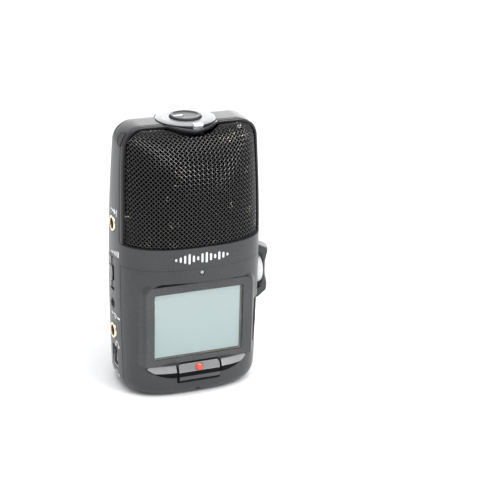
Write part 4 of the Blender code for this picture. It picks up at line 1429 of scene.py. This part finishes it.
for i, (x, z) in enumerate(screw_places()):
    seat = depth_at(x, z) - 0.9
    shape = spun([(0, seat - 6), (0.8, seat - 6), (0.8, seat - 0.3), (1.4, seat - 0.3), (1.4, seat + 0.2),
                  (1.3, seat + 0.38), (1.0, seat + 0.48), (0, seat + 0.5)], (x, 0, z), (0, 1, 0), 40)
    cross = [box((x - 0.85, seat, z - 0.16), (x + 0.85, 30, z + 0.16)),
             box((x - 0.16, seat, z - 0.85), (x + 0.16, 30, z + 0.85))]
    screw = carved("screw", shape, [("DIFFERENCE", slot) for slot in cross])
    node = "case_screw_%d" % (i + 1)
    place("screw_%d" % (i + 1), screw, "dark_steel", "case", [node])

flap = carved("card_flap", slab((-13, -13.2, 0), (13, -9.5, 1.5), 0.3, 0),
              [("DIFFERENCE", rod((0, -12.4, 0), (0, 0, 1), 1.6, -2, 0.4))])
place("card_flap", flap, "shell", "card_flap", ["sd_cover"])

bush_profile = [(0, 7.4), (3.8, 7.4), (3.8, 0.35), (3.6, 0.15), (3.25, 0.15)]
for k in range(10):
    bush_profile += [(3.1, 0.45 + k * 0.6), (3.3, 0.75 + k * 0.6)]
bush_profile += [(3.1, 6.4), (0, 6.4)]
place("screw_bush", spun(bush_profile, (0, -2.9, 0), (0, 0, 1), 64), "brass", "case",
      ["tripod_bush"])

for node, look in {
    "mic_bracket": "inner", "xy_mic_left": "steel", "xy_mic_right": "steel", "mid_mic": "steel",
    "side_mic_left": "steel", "side_mic_right": "steel", "main_board": "board", "key_board": "board",
    "jog_switch": "pale_inner", "rec_switch": "pale_inner", "mode_switch": "inner", "gain_pot": "steel",
    "play_carrier": "pale_inner", "battery_tray": "inner", "battery_1": "cell", "battery_2": "cell",
    "battery_spring_1": "steel", "battery_spring_2": "steel", "battery_link": "steel",
    "speaker": "inner", "sd_socket": "steel", "sd_card": "card",
}.items():
    repaint(node, look)


# ---------------------------------------------------------------- studio

BACK_GLOW = 2.4
ROOM_LOW = 0.85
ROOM_HIGH = 0.7


def floor_finish():
    made, tree, shader = nodes_of("studio_floor")
    tree.links.new(tint(tree, noise(tree, 6.0), (0.90, 0.905, 0.915), (0.93, 0.935, 0.94)),
                   shader.inputs["Base Color"])
    shader.inputs["Roughness"].default_value = 0.7
    shader.inputs["Specular IOR Level"].default_value = 0.2
    return made


def stage():
    mesh = bpy.data.meshes.new("studio_floor")
    mesh.from_pydata([(-6, -6, 0), (6, -6, 0), (6, 6, 0), (-6, 6, 0)], [], [[0, 1, 2, 3]])
    mesh.materials.append(floor_finish())
    floor = bpy.data.objects.new("studio_floor", mesh)
    bpy.context.scene.collection.objects.link(floor)


def lamp(name, spot, aim, size, power):
    light = bpy.data.lights.new(name, "AREA")
    light.shape = "RECTANGLE"
    light.size = size[0]
    light.size_y = size[1]
    light.energy = power
    item = bpy.data.objects.new(name, light)
    item.location = spot
    item.rotation_euler = (Vector(aim) - Vector(spot)).to_track_quat("-Z", "Y").to_euler()
    bpy.context.scene.collection.objects.link(item)


def sky():
    """White room, brighter low down behind the object, as from a lit backdrop."""
    world = bpy.data.worlds.new("studio")
    bpy.context.scene.world = world
    world.use_nodes = True
    tree = world.node_tree
    spot = added(tree, "TexCoord").outputs["Generated"]
    split = added(tree, "SeparateXYZ", {"Vector": spot}).outputs

    def step(axis, start, end, first, last):
        return spread(tree, split[axis], first, last, start, end, "SMOOTHSTEP")

    glow = combined(tree, "MULTIPLY", step("Z", 0.28, 0.52, 1.0, 0.0), step("Y", 0.15, 0.7, 0.0, BACK_GLOW))
    glow = combined(tree, "MULTIPLY", glow, step("X", -0.3, 0.1, 0.0, 1.0))
    room = step("Z", -0.1, 0.9, ROOM_LOW, ROOM_HIGH)
    base = tree.nodes["Background"]
    feed(tree, base, {"Strength": combined(tree, "ADD", glow, room)})
    base.inputs["Color"].default_value = (1.0, 1.0, 1.0, 1)


def camera():
    shot = bpy.data.cameras.new("camera")
    shot.sensor_width = 36.0
    shot.lens = 103.55
    shot.clip_start = 0.01
    item = bpy.data.objects.new("camera", shot)
    bpy.context.scene.collection.objects.link(item)
    azimuth = math.radians(23.04)
    lift = math.radians(21.8)
    roll = math.radians(1.62)
    aim = Vector(((29.32 + CASE_X) * MM, 0, 52.45 * MM))
    back = Vector((-math.sin(azimuth) * math.cos(lift), -math.cos(azimuth) * math.cos(lift), math.sin(lift)))
    right = (-back).cross(Vector((0, 0, 1))).normalized()
    up = right.cross(-back)
    turned = right * math.cos(roll) + up * math.sin(roll)
    upright = up * math.cos(roll) - right * math.sin(roll)
    item.location = aim + back * 0.5999
    item.rotation_euler = Matrix((turned, upright, back)).transposed().to_euler()
    bpy.context.scene.camera = item


stage()
sky()
lamp("overhead", (0.0, -0.35, 1.2), (0, 0, 0.0), (1.1, 0.9), 12)
lamp("key", (0.5, -0.75, 0.75), (0, 0, 0.06), (0.3, 0.3), 4)
camera()
bpy.context.scene.view_settings.view_transform = "Standard"
